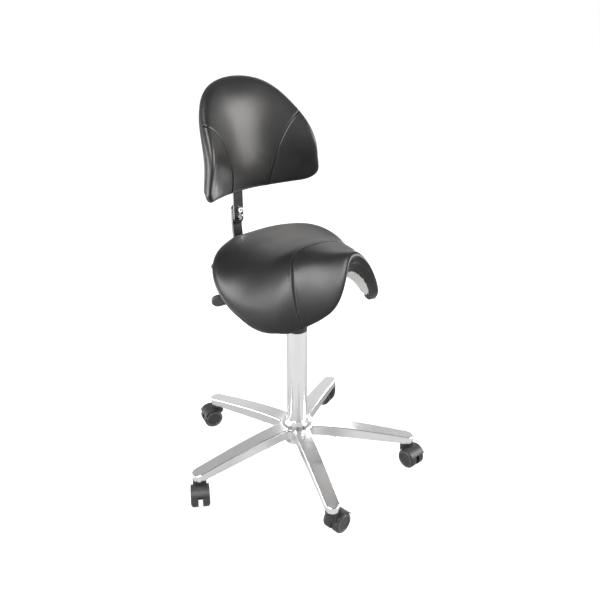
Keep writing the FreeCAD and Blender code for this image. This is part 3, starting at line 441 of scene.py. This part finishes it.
# ---------------------------------------------------------------- soft pieces
def sheet_probe(node, middle, across):
    """
    A function that gives the depths of both faces of a node that is a thick curved sheet, at a
    turn and a reach from the middle, or None past its edge. across is the axis that the thickness
    is measured along: 1 is Y and 2 is Z.
    """
    tree = surface_tree(nodes[node])
    flat = [k for k in range(3) if k != across]
    ray = Vector([float(k == across) for k in range(3)])

    def faces_at(turn, reach):
        spot = Vector((0.0, 0.0, 0.0))
        spot[flat[0]] = middle[0] + reach * math.cos(turn)
        spot[flat[1]] = middle[1] + reach * math.sin(turn)
        low = tree.ray_cast(spot - ray * 2.0, ray)
        high = tree.ray_cast(spot + ray * 2.0, -ray)
        if low[0] is None or high[0] is None:
            return None
        return low[0][across], high[0][across]

    return faces_at


def sheet_edge(faces_at):
    """How far the sheet reaches from its middle, for even turns. The last is the first again."""
    edge = []
    for k in range(SOFT_WAYS):
        near, far = SOFT_SEARCH
        while far - near > 0.0001:
            half = (near + far) / 2
            if faces_at(2 * math.pi * k / SOFT_WAYS, half):
                near = half
            else:
                far = half
        edge.append(near)
    edge = loop_smoothed(np.array(edge), 4)
    return np.append(edge, edge[0])


def sheet_ring(k, faces_at, edge, middle):
    """
    Ring k of the soft form, as (place in plan, lower depth, upper depth) for each of its 8 k
    points. In the last rings the faces close in on each other along a quarter of a circle.
    """
    ring = []
    plain = SOFT_RINGS - SOFT_RIM_RINGS
    for j in range(8 * k):
        turn = 2 * math.pi * j / (8 * k)
        reach = float(np.interp(j / (8 * k) * SOFT_WAYS, np.arange(SOFT_WAYS + 1), edge))
        if k <= plain:
            inset, closing = reach - (reach - SOFT_RIM) * k / plain, 1.0
        else:
            swing = 0.5 * math.pi * (k - plain) / SOFT_RIM_RINGS
            inset, closing = SOFT_RIM * (1 - math.sin(swing)), math.cos(swing)
        found = None
        safe = max(inset, 0.0006)
        while found is None:
            found = faces_at(turn, reach - safe)
            safe += 0.0004
        inner = faces_at(turn, reach - safe - SOFT_SLOPE_STEP) or found
        slope = (sum(found) - sum(inner)) / 2 / SOFT_SLOPE_STEP
        grow = SOFT_RIM_GROWTH * max(0.0, 1 - inset / SOFT_RIM)
        spot = np.array([middle[0] + (reach - inset + grow) * math.cos(turn),
                         middle[1] + (reach - inset + grow) * math.sin(turn)])
        slope = max(-SOFT_STEEPEST, min(SOFT_STEEPEST, slope))
        centre = (found[0] + found[1]) / 2 + grow * slope
        half = (found[1] - found[0]) / 2 * closing
        ring.append((spot, centre - half, centre + half))
    return ring


def place_in_ring(i, j):
    """For column i and row j of a square grid: the ring it is on, and its place in that ring."""
    k = max(abs(i), abs(j))
    if k == 0:
        return 0, 0
    if i == k:
        place = j
    elif j == k:
        place = 2 * k - i
    elif i == -k:
        place = 4 * k - j
    else:
        place = 6 * k + i
    return k, place % (8 * k)


def soft_form(node, name, material, middle, across):
    """
    A closed soft body with a rounded rim, from a CAD node that is a thick curved sheet. Rings of
    points run round the middle, on both faces, and the faces of the mesh follow a square grid.
    """
    faces_at = sheet_probe(node, middle, across)
    edge = sheet_edge(faces_at)
    rings = [sheet_ring(k, faces_at, edge, middle) for k in range(1, SOFT_RINGS + 1)]
    heart = faces_at(0.0, 0.0)
    verts, index = [], {}

    def point(spot, depth):
        place = [float(spot[0]), float(spot[1])]
        place.insert(across, depth)
        verts.append(tuple(place))
        return len(verts) - 1

    for side in (0, 1):
        index[side, 0, 0] = point(middle, heart[side])
        for k, ring in enumerate(rings, 1):
            for j, found in enumerate(ring):
                if k == SOFT_RINGS and side:
                    index[side, k, j] = index[0, k, j]
                else:
                    index[side, k, j] = point(found[0], found[1 + side])
    faces = []
    for side in (0, 1):
        for i in range(-SOFT_RINGS, SOFT_RINGS):
            for j in range(-SOFT_RINGS, SOFT_RINGS):
                corners = ((i, j), (i + 1, j), (i + 1, j + 1), (i, j + 1))
                face = tuple(index[(side, *place_in_ring(*corner))] for corner in corners)
                faces.append(face if side == (across == 2) else face[::-1])
    thing = new_mesh(name, verts, faces, material)
    return applied(thing, "SMOOTH", factor=0.5, iterations=SOFT_SMOOTHING)


def evened(mesh, values, rounds):
    """A value for each point, averaged again and again with the values of its neighbours."""
    ends = np.empty(len(mesh.edges) * 2, dtype=np.int32)
    mesh.edges.foreach_get("vertices", ends)
    one, other = ends.reshape(-1, 2).T
    size = len(values)
    count = np.bincount(ends, minlength=size)
    for _ in range(rounds):
        shared = np.bincount(one, values[other], size) + np.bincount(other, values[one], size)
        values = 0.5 * values + 0.5 * shared / count
    return values


def puffed(thing, held):
    """
    The form blown up a little by cloth simulation. Points in held stay where they are.
    The leather is stretched tight, so the swelling is evened out and leaves no creases.
    """
    rest = points_of(thing.data)
    group = thing.vertex_groups.new(name="held")
    group.add([int(i) for i in np.nonzero(held)[0]], 1.0, "REPLACE")
    cloth = thing.modifiers.new("cloth", "CLOTH").settings
    cloth.use_pressure = True
    cloth.uniform_pressure_force = CLOTH_PRESSURE
    cloth.quality = 3
    cloth.mass = 0.3
    cloth.tension_stiffness = 15
    cloth.compression_stiffness = 15
    cloth.bending_stiffness = 2
    cloth.vertex_group_mass = "held"
    cloth.effector_weights.gravity = 0
    scene = bpy.context.scene
    for frame_number in range(1, CLOTH_FRAMES + 1):
        scene.frame_set(frame_number)
    graph = bpy.context.evaluated_depsgraph_get()
    blown = points_of(thing.evaluated_get(graph).data)
    thing.modifiers.clear()
    thing.vertex_groups.clear()
    scene.frame_set(1)
    normals = normals_of(thing.data)
    swell = np.clip(((blown - rest) * normals).sum(axis=1), -CLOTH_SWELL, CLOTH_SWELL)
    swell = evened(thing.data, swell, CLOTH_EVENING)
    move_points(thing.data, rest + normals * swell[:, None])


def sew(thing, lines):
    """Presses a groove along each line, with a slight swelling on both sides, and marks it for the
    painted shade that the leather puts in the groove.
    """
    places = points_of(thing.data)
    normals = normals_of(thing.data)
    near = np.full(len(places), 1e9)
    for line in lines:
        near = np.minimum(near, distance_to(places, line))
    near /= SEAM_WIDTH
    press = np.exp(-(near ** 2))
    press -= LIP_HEIGHT * np.exp(-(((near - LIP_ASIDE) / LIP_WIDTH) ** 2))
    move_points(thing.data, places - normals * (SEAM_DEPTH * press)[:, None])
    # The mark tells the leather where to paint shade into the groove.
    groove_shade = thing.data.attributes.new("seam", "FLOAT", "POINT")
    groove_shade.data.foreach_set("value", np.exp(-((near / SEAM_SHADE_WIDTH) ** 2)).astype(np.float32))


def stitches(name, tree, line, aside, material):
    """A row of short stitches beside a seam line, each lying on the surface."""
    line = along(line, STITCH_PITCH)
    verts, faces = [], []
    for i in range(1, len(line) - 1):
        forward = Vector(line[i + 1] - line[i - 1]).normalized()
        spot, normal = tree.find_nearest(Vector(line[i]))[:2]
        side = normal.cross(forward).normalized()
        spot, normal = tree.find_nearest(spot + side * aside)[:2]
        forward = (forward - normal * forward.dot(normal)).normalized()
        side = normal.cross(forward)
        faces += ring_bands(len(verts), len(STITCH_SECTIONS), STITCH_SIDES)
        for place, size in STITCH_SECTIONS:
            sunk = 0.35 if abs(place) < 0.4 else -0.2
            centre = spot + forward * (place * STITCH_LENGTH) + normal * (STITCH_RADIUS * sunk)
            for j in range(STITCH_SIDES):
                turn = 2 * math.pi * j / STITCH_SIDES
                out = side * math.cos(turn) + normal * math.sin(turn)
                verts.append(centre + out * (STITCH_RADIUS * size))
    return new_mesh(name, verts, faces, material)


# ---------------------------------------------------------------- the saddle
SADDLE_SEAM_CENTRE = 0.480      # height of the axis round which the seam runs
# The seam's place: (degrees from upright round that axis, metres forward)
SADDLE_SEAM = ((0, 0.0550), (12, 0.0555), (20, 0.0590), (27, 0.0645), (34, 0.0745),
               (41, 0.0880), (48.5, 0.1010), (56, 0.1110), (64, 0.1200), (73, 0.1290),
               (82, 0.1375), (95, 0.1450), (115, 0.1490))
PLAN_MIDDLE = (0.0, 0.01)       # the point of the saddle's plan that its rim is measured from


def saddle_seam(tree, steps=260):
    """The seam between seat panel and front panel, from one flap's lower edge to the other's."""
    turns, places = np.array(SADDLE_SEAM).T
    line = []
    for turn in np.linspace(-turns[-1], turns[-1], steps + 1):
        ahead = float(np.interp(abs(turn), turns, places))
        out = Vector((math.sin(math.radians(turn)), 0.0, math.cos(math.radians(turn))))
        start = Vector((0.0, -ahead, SADDLE_SEAM_CENTRE)) + out * 0.4
        hit = tree.ray_cast(start, -out, 0.4)
        if hit[0] is not None and hit[1].dot(out) > 0.05:
            line.append(np.array(tuple(hit[0])))
    line = np.array(line)
    for _ in range(12):
        line[1:-1] = 0.25 * line[:-2] + 0.5 * line[1:-1] + 0.25 * line[2:]
    return along(line, SEAM_STEP)


def soft_cover(name, node, material, middle, across, find_seams, underside):
    """
    The soft piece that stands for a CAD pad: its form, blown up between its seams and sewn.
    find_seams gives the seam lines from the surface, and underside tells from the normals which
    points face what the pad lies on.
    """
    cover = soft_form(node, name, material, middle, across)
    seams = find_seams(surface_tree(cover))
    places, normals = points_of(cover.data), normals_of(cover.data)
    near = np.min([distance_to(places, seam) for seam in seams], axis=0)
    puffed(cover, (near < HELD_BY_SEAM) | underside(normals))
    applied(cover, "SUBSURF", levels=1)
    sew(cover, seams)
    cover.data.shade_smooth()
    return cover, seams


def make_saddle(materials):
    """The saddle's cover with its seam, two rows of stitches and the turned-in edge."""
    cover, (seam,) = soft_cover("saddle_cover", "seat_pad", materials["upholstery"], PLAN_MIDDLE, 2,
                                lambda tree: [saddle_seam(tree)], lambda n: n[:, 2] < -0.2)
    tree = surface_tree(cover)
    pieces = [cover]
    for end, aside in (("front", STITCH_ASIDE), ("rear", -STITCH_ASIDE)):
        pieces.append(stitches(f"saddle_stitch_{end}", tree, seam, aside, materials["thread"]))
    for piece in pieces:
        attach(piece, "seat")
    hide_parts("seat_pad")
    make_hem(tree, materials)


# ---------------------------------------------------------------- the turned-in edge under the saddle
HEM_WAYS = 420                  # directions in which the shell's edge is looked for
HEM_COLUMNS = 960
HEM_TO_SHELL = 0.0110           # how far outside the shell's edge the leather turns in, in plan
HEM_ON_SHELL = 0.0085           # how far the leather lies on the shell
HEM_FREE_ROWS = 7               # rows between the rim and the shell's edge
HEM_SHELL_ROWS = 11             # rows that lie on the shell
HEM_MARKS = 15                  # places at which each column is measured on the shell
HEM_MARK_FIRST = 0.0008
HEM_MARK_STEP = 0.0011
HEM_THICKNESS = 0.0011
BELOW_SADDLE = 0.3              # a height under the saddle that upward rays start from
PLEAT_PITCH = 0.0075
PLEAT_HEIGHT = 0.0030
ARCH_HALF = 0.03                # half width of the saddle's arch, where the hem is narrow
ARCH_FADE = 0.06
STAPLE_PITCH = 0.017
# A staple's bend points: (reach along its crown, rise off the leather), and its wire's section
STAPLE_BENDS = ((-0.0049, -0.0016), (-0.0046, 0.0010), (-0.0030, 0.0014),
                (0.0030, 0.0014), (0.0046, 0.0010), (0.0049, -0.0016))
STAPLE_WIRE = ((-0.00055, -0.00028), (0.00055, -0.00028), (0.00055, 0.00028), (-0.00055, 0.00028))


def above(tree, place):
    """The first place straight above a spot in plan, or None."""
    hit = tree.ray_cast(Vector((place[0], place[1], BELOW_SADDLE)), Vector((0, 0, 1)), 0.6)
    return None if hit[0] is None else np.array(tuple(hit[0]))


def plan_outline(tree, centre, count):
    """The rim in plan: for even turns about the centre, the last place with something above it."""
    line = []
    for k in range(count):
        turn = 2 * math.pi * k / count
        out = np.array([math.cos(turn), math.sin(turn)])
        near, far = 0.05, 0.26
        while far - near > 0.0002:
            middle = (near + far) / 2
            if above(tree, centre + out * middle) is None:
                far = middle
            else:
                near = middle
        line.append([*(centre + out * near), 0.0])
    return np.array(line + line[:1])


def even_loop(line, count):
    """count places at even steps round a closed line, and the line's length."""
    reach = lengths_along(line)
    at = np.linspace(0.0, reach[-1], count, endpoint=False)
    return placed_along(line, reach, at), reach[-1]


def wobble(at, seed, waves):
    """Smooth irregular wave between about -1 and 1, the same in every run."""
    chance = np.random.default_rng(seed)
    total = np.zeros_like(at)
    for count in waves:
        total += np.sin(2 * math.pi * count * at + chance.uniform(0, 2 * math.pi)) / len(waves)
    return total


def above_all(tree, places, rounds):
    """For each of a loop's places, what is above it. A place with nothing takes its neighbour's."""
    rows = [above(tree, place) for place in places]
    known = [i for i, found in enumerate(rows) if found is not None]

    def nearest(i):
        return min(known, key=lambda k: min(abs(k - i), len(rows) - abs(k - i)))

    filled = [found if found is not None else rows[nearest(i)] for i, found in enumerate(rows)]
    return loop_smoothed(np.array(filled), rounds)


def hem_rows(rim_tree, loop, phase, at):
    """The hem's rows of places: from the cover's rim to the shell's edge, and on along it."""
    shell_tree = surface_tree(nodes["seat_shell"])
    ahead = np.roll(loop, -4, axis=0) - np.roll(loop, 4, axis=0)
    ahead /= np.linalg.norm(ahead, axis=1, keepdims=True)
    inward = np.stack([-ahead[:, 1], ahead[:, 0], np.zeros(len(loop))], axis=1)
    rim = above_all(rim_tree, loop - inward * HEM_TO_SHELL, 4)
    marks = np.array([above_all(shell_tree, loop + inward * (HEM_MARK_FIRST + HEM_MARK_STEP * k), 3)
                      for k in range(HEM_MARKS)])
    grid = []
    for k in range(HEM_FREE_ROWS):
        share = k / HEM_FREE_ROWS
        grid.append(rim * (1 - share) + marks[0] * share)
    ragged = 2 * np.abs((phase % 1.0) - 0.5)
    aside = np.clip((np.abs(loop[:, 0]) - ARCH_HALF) / ARCH_FADE, 0.0, 1.0)
    clear_of_arch = np.where(loop[:, 1] < 0, aside, 1.0)
    end = HEM_ON_SHELL * (0.4 + 0.8 * clear_of_arch)
    end = end * (1 + 0.16 * ragged + 0.16 * wobble(at, 7, (9, 17, 41, 67)))
    reaches = [lengths_along(marks[:, i]) for i in range(HEM_COLUMNS)]
    for k in range(HEM_SHELL_ROWS):
        want = end * k / (HEM_SHELL_ROWS - 1)
        grid.append([[np.interp(want[i], reaches[i], marks[:, i, axis]) for axis in range(3)]
                     for i in range(HEM_COLUMNS)])
    return np.array(grid)


def make_hem(rim_tree, materials):
    """Leather turned in over the rim and stapled to the shell, in pleats with a ragged edge."""
    line = plan_outline(surface_tree(nodes["seat_shell"]), np.array(PLAN_MIDDLE), HEM_WAYS)
    loop, length = even_loop(line, HEM_COLUMNS)
    loop = loop_smoothed(loop, 6)
    at = np.arange(HEM_COLUMNS) / HEM_COLUMNS
    phase = at * round(length / PLEAT_PITCH) + 0.9 * wobble(at, 3, (5, 11, 23, 31))
    grid = hem_rows(rim_tree, loop, phase, at)
    onward = np.roll(grid, -1, axis=1) - np.roll(grid, 1, axis=1)
    normal = np.cross(onward, np.gradient(grid, axis=0))
    normal /= np.maximum(np.linalg.norm(normal, axis=2, keepdims=True), 1e-9)
    if normal[HEM_FREE_ROWS + 1, :, 2].mean() > 0:
        normal = -normal
    count = len(grid)
    depth = np.linspace(0.0, 1.0, count)[:, None]
    pleat = np.abs(np.sin(math.pi * (phase[None, :] + 0.10 * np.sin(5 * depth)))) ** 0.7
    strength = PLEAT_HEIGHT * np.clip((depth - 0.12) / 0.6, 0.0, 1.0)
    strength = strength * (0.75 + 0.35 * wobble(at, 11, (7, 19, 29)))[None, :]
    lift = 0.0004 + 0.0011 * np.clip(depth / 0.3, 0, 1) + strength * pleat
    lift[0] = -0.0012
    grid = grid + normal * lift[:, :, None]
    faces = []
    for row in range(0, (count - 1) * HEM_COLUMNS, HEM_COLUMNS):
        for i in range(HEM_COLUMNS):
            a, b = row + i, row + (i + 1) % HEM_COLUMNS
            faces.append((a, b, b + HEM_COLUMNS, a + HEM_COLUMNS))
    hem = new_mesh("saddle_hem", grid.reshape(-1, 3), faces, materials["upholstery"])
    applied(hem, "SOLIDIFY", thickness=HEM_THICKNESS, offset=0.0)
    hem.data.shade_smooth()
    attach(hem, "seat")
    make_staples(grid, normal, int(length / STAPLE_PITCH), materials)


def make_staples(grid, normal, count, materials):
    """Flat wire staples through the gathered edge."""
    chance = np.random.default_rng(5)
    verts, faces = [], []
    columns = grid.shape[1]
    row = grid.shape[0] - 4
    for k in range(count):
        i = int(columns * (k + chance.uniform(-0.15, 0.15)) / count) % columns
        spot, out = Vector(grid[row, i]), Vector(normal[row, i])
        way = (Vector(grid[row, (i + 4) % columns]) - Vector(grid[row, i - 4])).normalized()
        side = Vector(grid[row + 2, i]) - Vector(grid[row - 2, i])
        way = (way + side.normalized() * chance.uniform(-0.35, 0.35)).normalized()
        flat = out.cross(way).normalized()
        faces += ring_bands(len(verts), len(STAPLE_BENDS), len(STAPLE_WIRE))
        for reach, rise in STAPLE_BENDS:
            middle = spot + way * reach + out * rise
            for a, b in STAPLE_WIRE:
                verts.append(middle + flat * a + out * b)
    staples = new_mesh("saddle_staples", verts, faces, materials["steel"], smooth=False)
    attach(staples, "seat")


# ---------------------------------------------------------------- the backrest
BACK_MIDDLE = (0.0, 0.80)       # x and height of the point that the backrest's rim is measured from
BACK_SEAM_FOOT = (0.055, 0.690)
BACK_SEAM_HEAD = (0.150, 0.866)
BACK_SEAM_POWER = 1.8           # how square the seam's bend is: 2 is part of an ellipse


def back_seam(tree, side, steps=150):
    """One seam of the backrest: up from the lower edge and out over the wing."""
    (inner, low), (outer, high) = BACK_SEAM_FOOT, BACK_SEAM_HEAD
    line = []
    for k in range(steps + 1):
        turn = 0.5 * math.pi * k / steps
        rise = math.sin(turn) ** (2 / BACK_SEAM_POWER)
        across = 1 - max(0.0, math.cos(turn)) ** (2 / BACK_SEAM_POWER)
        x = side * (inner + (outer - inner) * across)
        hit = tree.ray_cast(Vector((x, -0.3, low + (high - low) * rise)), Vector((0, 1, 0)), 1.0)
        if hit[0] is not None and hit[1].y < -0.05:
            line.append(hit[0])
    return along(line, SEAM_STEP)


def make_backrest(materials):
    """The backrest's cover with its two seams."""
    cover, _ = soft_cover("backrest_cover", "back_pad", materials["upholstery"], BACK_MIDDLE, 1,
                          lambda tree: [back_seam(tree, side) for side in (-1, 1)],
                          lambda n: n[:, 1] > 0.2)
    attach(cover, "back")
    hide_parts("back_pad")


# ---------------------------------------------------------------- wheels
RING_TURNS = 56
# The raised ring's section: (share of the wheel's radius, height over the wheel's outer face)
RING_PROFILE = ((0.70, -0.0012), (0.705, 0.0002), (0.73, 0.0006),
                (0.80, 0.0006), (0.83, 0.0002), (0.835, -0.0012))


def lathe(name, centre, axis, profile, material):
    """A turned piece: the profile's (radius, reach along the axis) pairs swung round the axis."""
    side = axis.orthogonal().normalized()
    up = axis.cross(side)
    verts = []
    for radius, reach in profile:
        for k in range(RING_TURNS):
            turn = 2 * math.pi * k / RING_TURNS
            out = side * math.cos(turn) + up * math.sin(turn)
            verts.append(centre + axis * reach + out * radius)
    return new_mesh(name, verts, ring_bands(0, len(profile), RING_TURNS), material)


def wheel_places():
    """For each wheel: its node's name, its body, its middle and its outer face's direction."""
    for joint in frame["joints"]:
        body = joint["child"]
        node = body.replace("_left", "_wheel_left").replace("_right", "_wheel_right")
        if node not in nodes or "_wheel_" not in node:
            continue
        low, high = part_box(node)
        middle = (low + high) / 2
        axis = Vector(joint["axis"]).normalized()
        axle_low, axle_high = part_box(joint["parent"] + "_axle")
        outward = middle - (axle_low + axle_high) / 2
        yield node, body, Vector(middle), axis if axis.dot(outward) > 0 else -axis


def dress_wheels(materials):
    """A raised ring on each wheel's outer face."""
    for node, body, middle, out in wheel_places():
        offsets = [v.co - middle for v in nodes[node].data.vertices]
        half = max(abs(offset.dot(out)) for offset in offsets)
        radius = max((offset - out * offset.dot(out)).length for offset in offsets)
        profile = [(radius * share, half + height) for share, height in RING_PROFILE]
        ring = lathe(f"{body}_ring", middle, out, profile, materials["disc_ring"])
        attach(ring, body)


# ---------------------------------------------------------------- materials on the CAD nodes
def dress_nodes(materials):
    """Each CAD node's material slots take the materials that are named after their record slot."""
    slots = {entry["slot"] for entry in frame["record"]["materials"]}
    for thing in nodes.values():
        for place in thing.material_slots:
            slot = (place.material.name if place.material else "").split(".")[0]
            if slot in slots and slot in materials:
                place.material = materials[slot]


# ---------------------------------------------------------------- studio and camera
def emptied_tree(owner):
    """The owner's node tree without nodes, a call that adds one and a call that joins sockets."""
    owner.use_nodes = True
    tree = owner.node_tree
    tree.nodes.clear()
    return lambda kind: tree.nodes.new("ShaderNode" + kind), tree.links.new


def make_studio():
    """
    The world: white to the camera, soft light on dull surfaces, and for polished ones a room whose
    brightness changes with height.
    """
    world = bpy.data.worlds.new("studio")
    bpy.context.scene.world = world
    add, join = emptied_tree(world)
    output, path, place = add("OutputWorld"), add("LightPath"), add("TexCoord")
    split, ramp = add("SeparateXYZ"), add("ValToRGB")
    soft, seen, gloss = add("Background"), add("Background"), add("Background")
    lighting, shown = add("MixShader"), add("MixShader")
    soft.inputs["Color"].default_value = (0.98, 0.985, 1.0, 1)
    soft.inputs["Strength"].default_value = WORLD_STRENGTH
    seen.inputs["Color"].default_value = (1, 1, 1, 1)
    elements = ramp.color_ramp.elements
    elements[0].position, elements[0].color = 0.0, SKY_AT_HORIZON
    elements[1].position, elements[1].color = 1.0, SKY_AT_TOP
    for height, value in SKY_FOR_GLOSS:
        elements.new(height).color = (value, value, value * 1.01, 1)
    join(place.outputs["Generated"], split.inputs[0])
    join(split.outputs["Z"], ramp.inputs["Fac"])
    join(ramp.outputs["Color"], gloss.inputs["Color"])
    join(path.outputs["Is Glossy Ray"], lighting.inputs[0])
    join(soft.outputs[0], lighting.inputs[1])
    join(gloss.outputs[0], lighting.inputs[2])
    join(path.outputs["Is Camera Ray"], shown.inputs[0])
    join(lighting.outputs[0], shown.inputs[1])
    join(seen.outputs[0], shown.inputs[2])
    join(shown.outputs[0], output.inputs["Surface"])


def make_floor():
    """A wide floor that shows white where it is lit and keeps the object's shadow."""
    far = FLOOR_HALF
    material = bpy.data.materials.new("pale_floor")
    add, join = emptied_tree(material)
    output, paint, glow = add("OutputMaterial"), add("BsdfDiffuse"), add("Emission")
    total, path, shown, level = add("AddShader"), add("LightPath"), add("Math"), add("Math")
    shown.operation = "MULTIPLY"
    shown.inputs[1].default_value = FLOOR_GLOW_SEEN
    level.operation = "MULTIPLY_ADD"
    level.inputs[1].default_value = FLOOR_GLOW_MIRRORED
    paint.inputs["Color"].default_value = FLOOR_PAINT
    join(path.outputs["Is Camera Ray"], shown.inputs[0])
    join(path.outputs["Is Glossy Ray"], level.inputs[0])
    join(shown.outputs[0], level.inputs[2])
    join(level.outputs[0], glow.inputs["Strength"])
    join(paint.outputs[0], total.inputs[0])
    join(glow.outputs[0], total.inputs[1])
    join(total.outputs[0], output.inputs["Surface"])
    corners = [(-far, -far, 0), (far, -far, 0), (far, far, 0), (-far, far, 0)]
    floor = new_mesh("floor", corners, [(0, 1, 2, 3)], material)


def toward_camera(side, up, away):
    """A place from its offset to the camera's right, its height and its reach to the camera."""
    right = Vector((math.cos(CAMERA_SIDE), -math.sin(CAMERA_SIDE), 0))
    near = Vector((-math.sin(CAMERA_SIDE), -math.cos(CAMERA_SIDE), 0))
    return right * side + near * away + Vector((0, 0, up))


def softbox(name, around, height, distance, size, radiance, colour):
    """A lamp that faces the object. around is in degrees from the camera, positive to its right."""
    turn, rise = math.radians(around), math.radians(height)
    aim = Vector(LAMPS_AIM)
    flat = math.cos(rise)
    place = toward_camera(math.sin(turn) * flat, math.sin(rise), math.cos(turn) * flat)
    lamp = bpy.data.lights.new(name, "AREA")
    lamp.shape = "RECTANGLE"
    lamp.size, lamp.size_y = size
    lamp.energy = radiance * math.pi * size[0] * size[1]
    lamp.color = colour
    thing = bpy.data.objects.new(name, lamp)
    bpy.context.scene.collection.objects.link(thing)
    thing.location = aim + place * distance
    thing.rotation_euler = (-place).to_track_quat("-Z", "Y").to_euler()
    thing.visible_camera = False


# Each lamp's name, degrees round from the camera, degrees up, distance, size, radiance and colour
LAMPS = (
    ("key_softbox", -32, 48, 2.2, (1.3, 1.8), 11.0, (0.985, 0.98, 1.0)),
    ("right_softbox", 86, 15, 1.9, (1.7, 0.9), 11.0, (1.0, 0.97, 0.92)),
    ("rear_right_softbox", 146, -10, 2.1, (0.9, 0.7), 9.5, (1.0, 1.0, 1.0)),
    ("rear_softbox", 172, 28, 2.2, (0.9, 0.45), 2.6, (1.0, 0.96, 0.90)),
    ("left_softbox", -88, -8, 1.6, (1.5, 0.66), 8.5, (0.97, 0.965, 1.0)),
)


def make_camera():
    """The camera, aimed a little to one side of the column."""
    lens = bpy.data.cameras.new("camera")
    lens.lens = LENS
    lens.sensor_width = SENSOR
    lens.clip_start = 0.05
    camera = bpy.data.objects.new("camera", lens)
    bpy.context.scene.collection.objects.link(camera)
    aim = Vector(CAMERA_AIM) + toward_camera(CAMERA_ASIDE, 0, 0)
    flat, up = math.cos(CAMERA_ELEVATION), math.sin(CAMERA_ELEVATION)
    camera.location = aim + toward_camera(0, up * CAMERA_DISTANCE, flat * CAMERA_DISTANCE)
    camera.rotation_euler = (aim - camera.location).to_track_quat("-Z", "Y").to_euler()
    bpy.context.scene.camera = camera
    bpy.context.scene.view_settings.view_transform = "Standard"


def main():
    materials = make_materials()
    dress_nodes(materials)
    make_saddle(materials)
    make_backrest(materials)
    dress_wheels(materials)
    make_studio()
    make_floor()
    for lamp in LAMPS:
        softbox(*lamp)
    make_camera()


main()
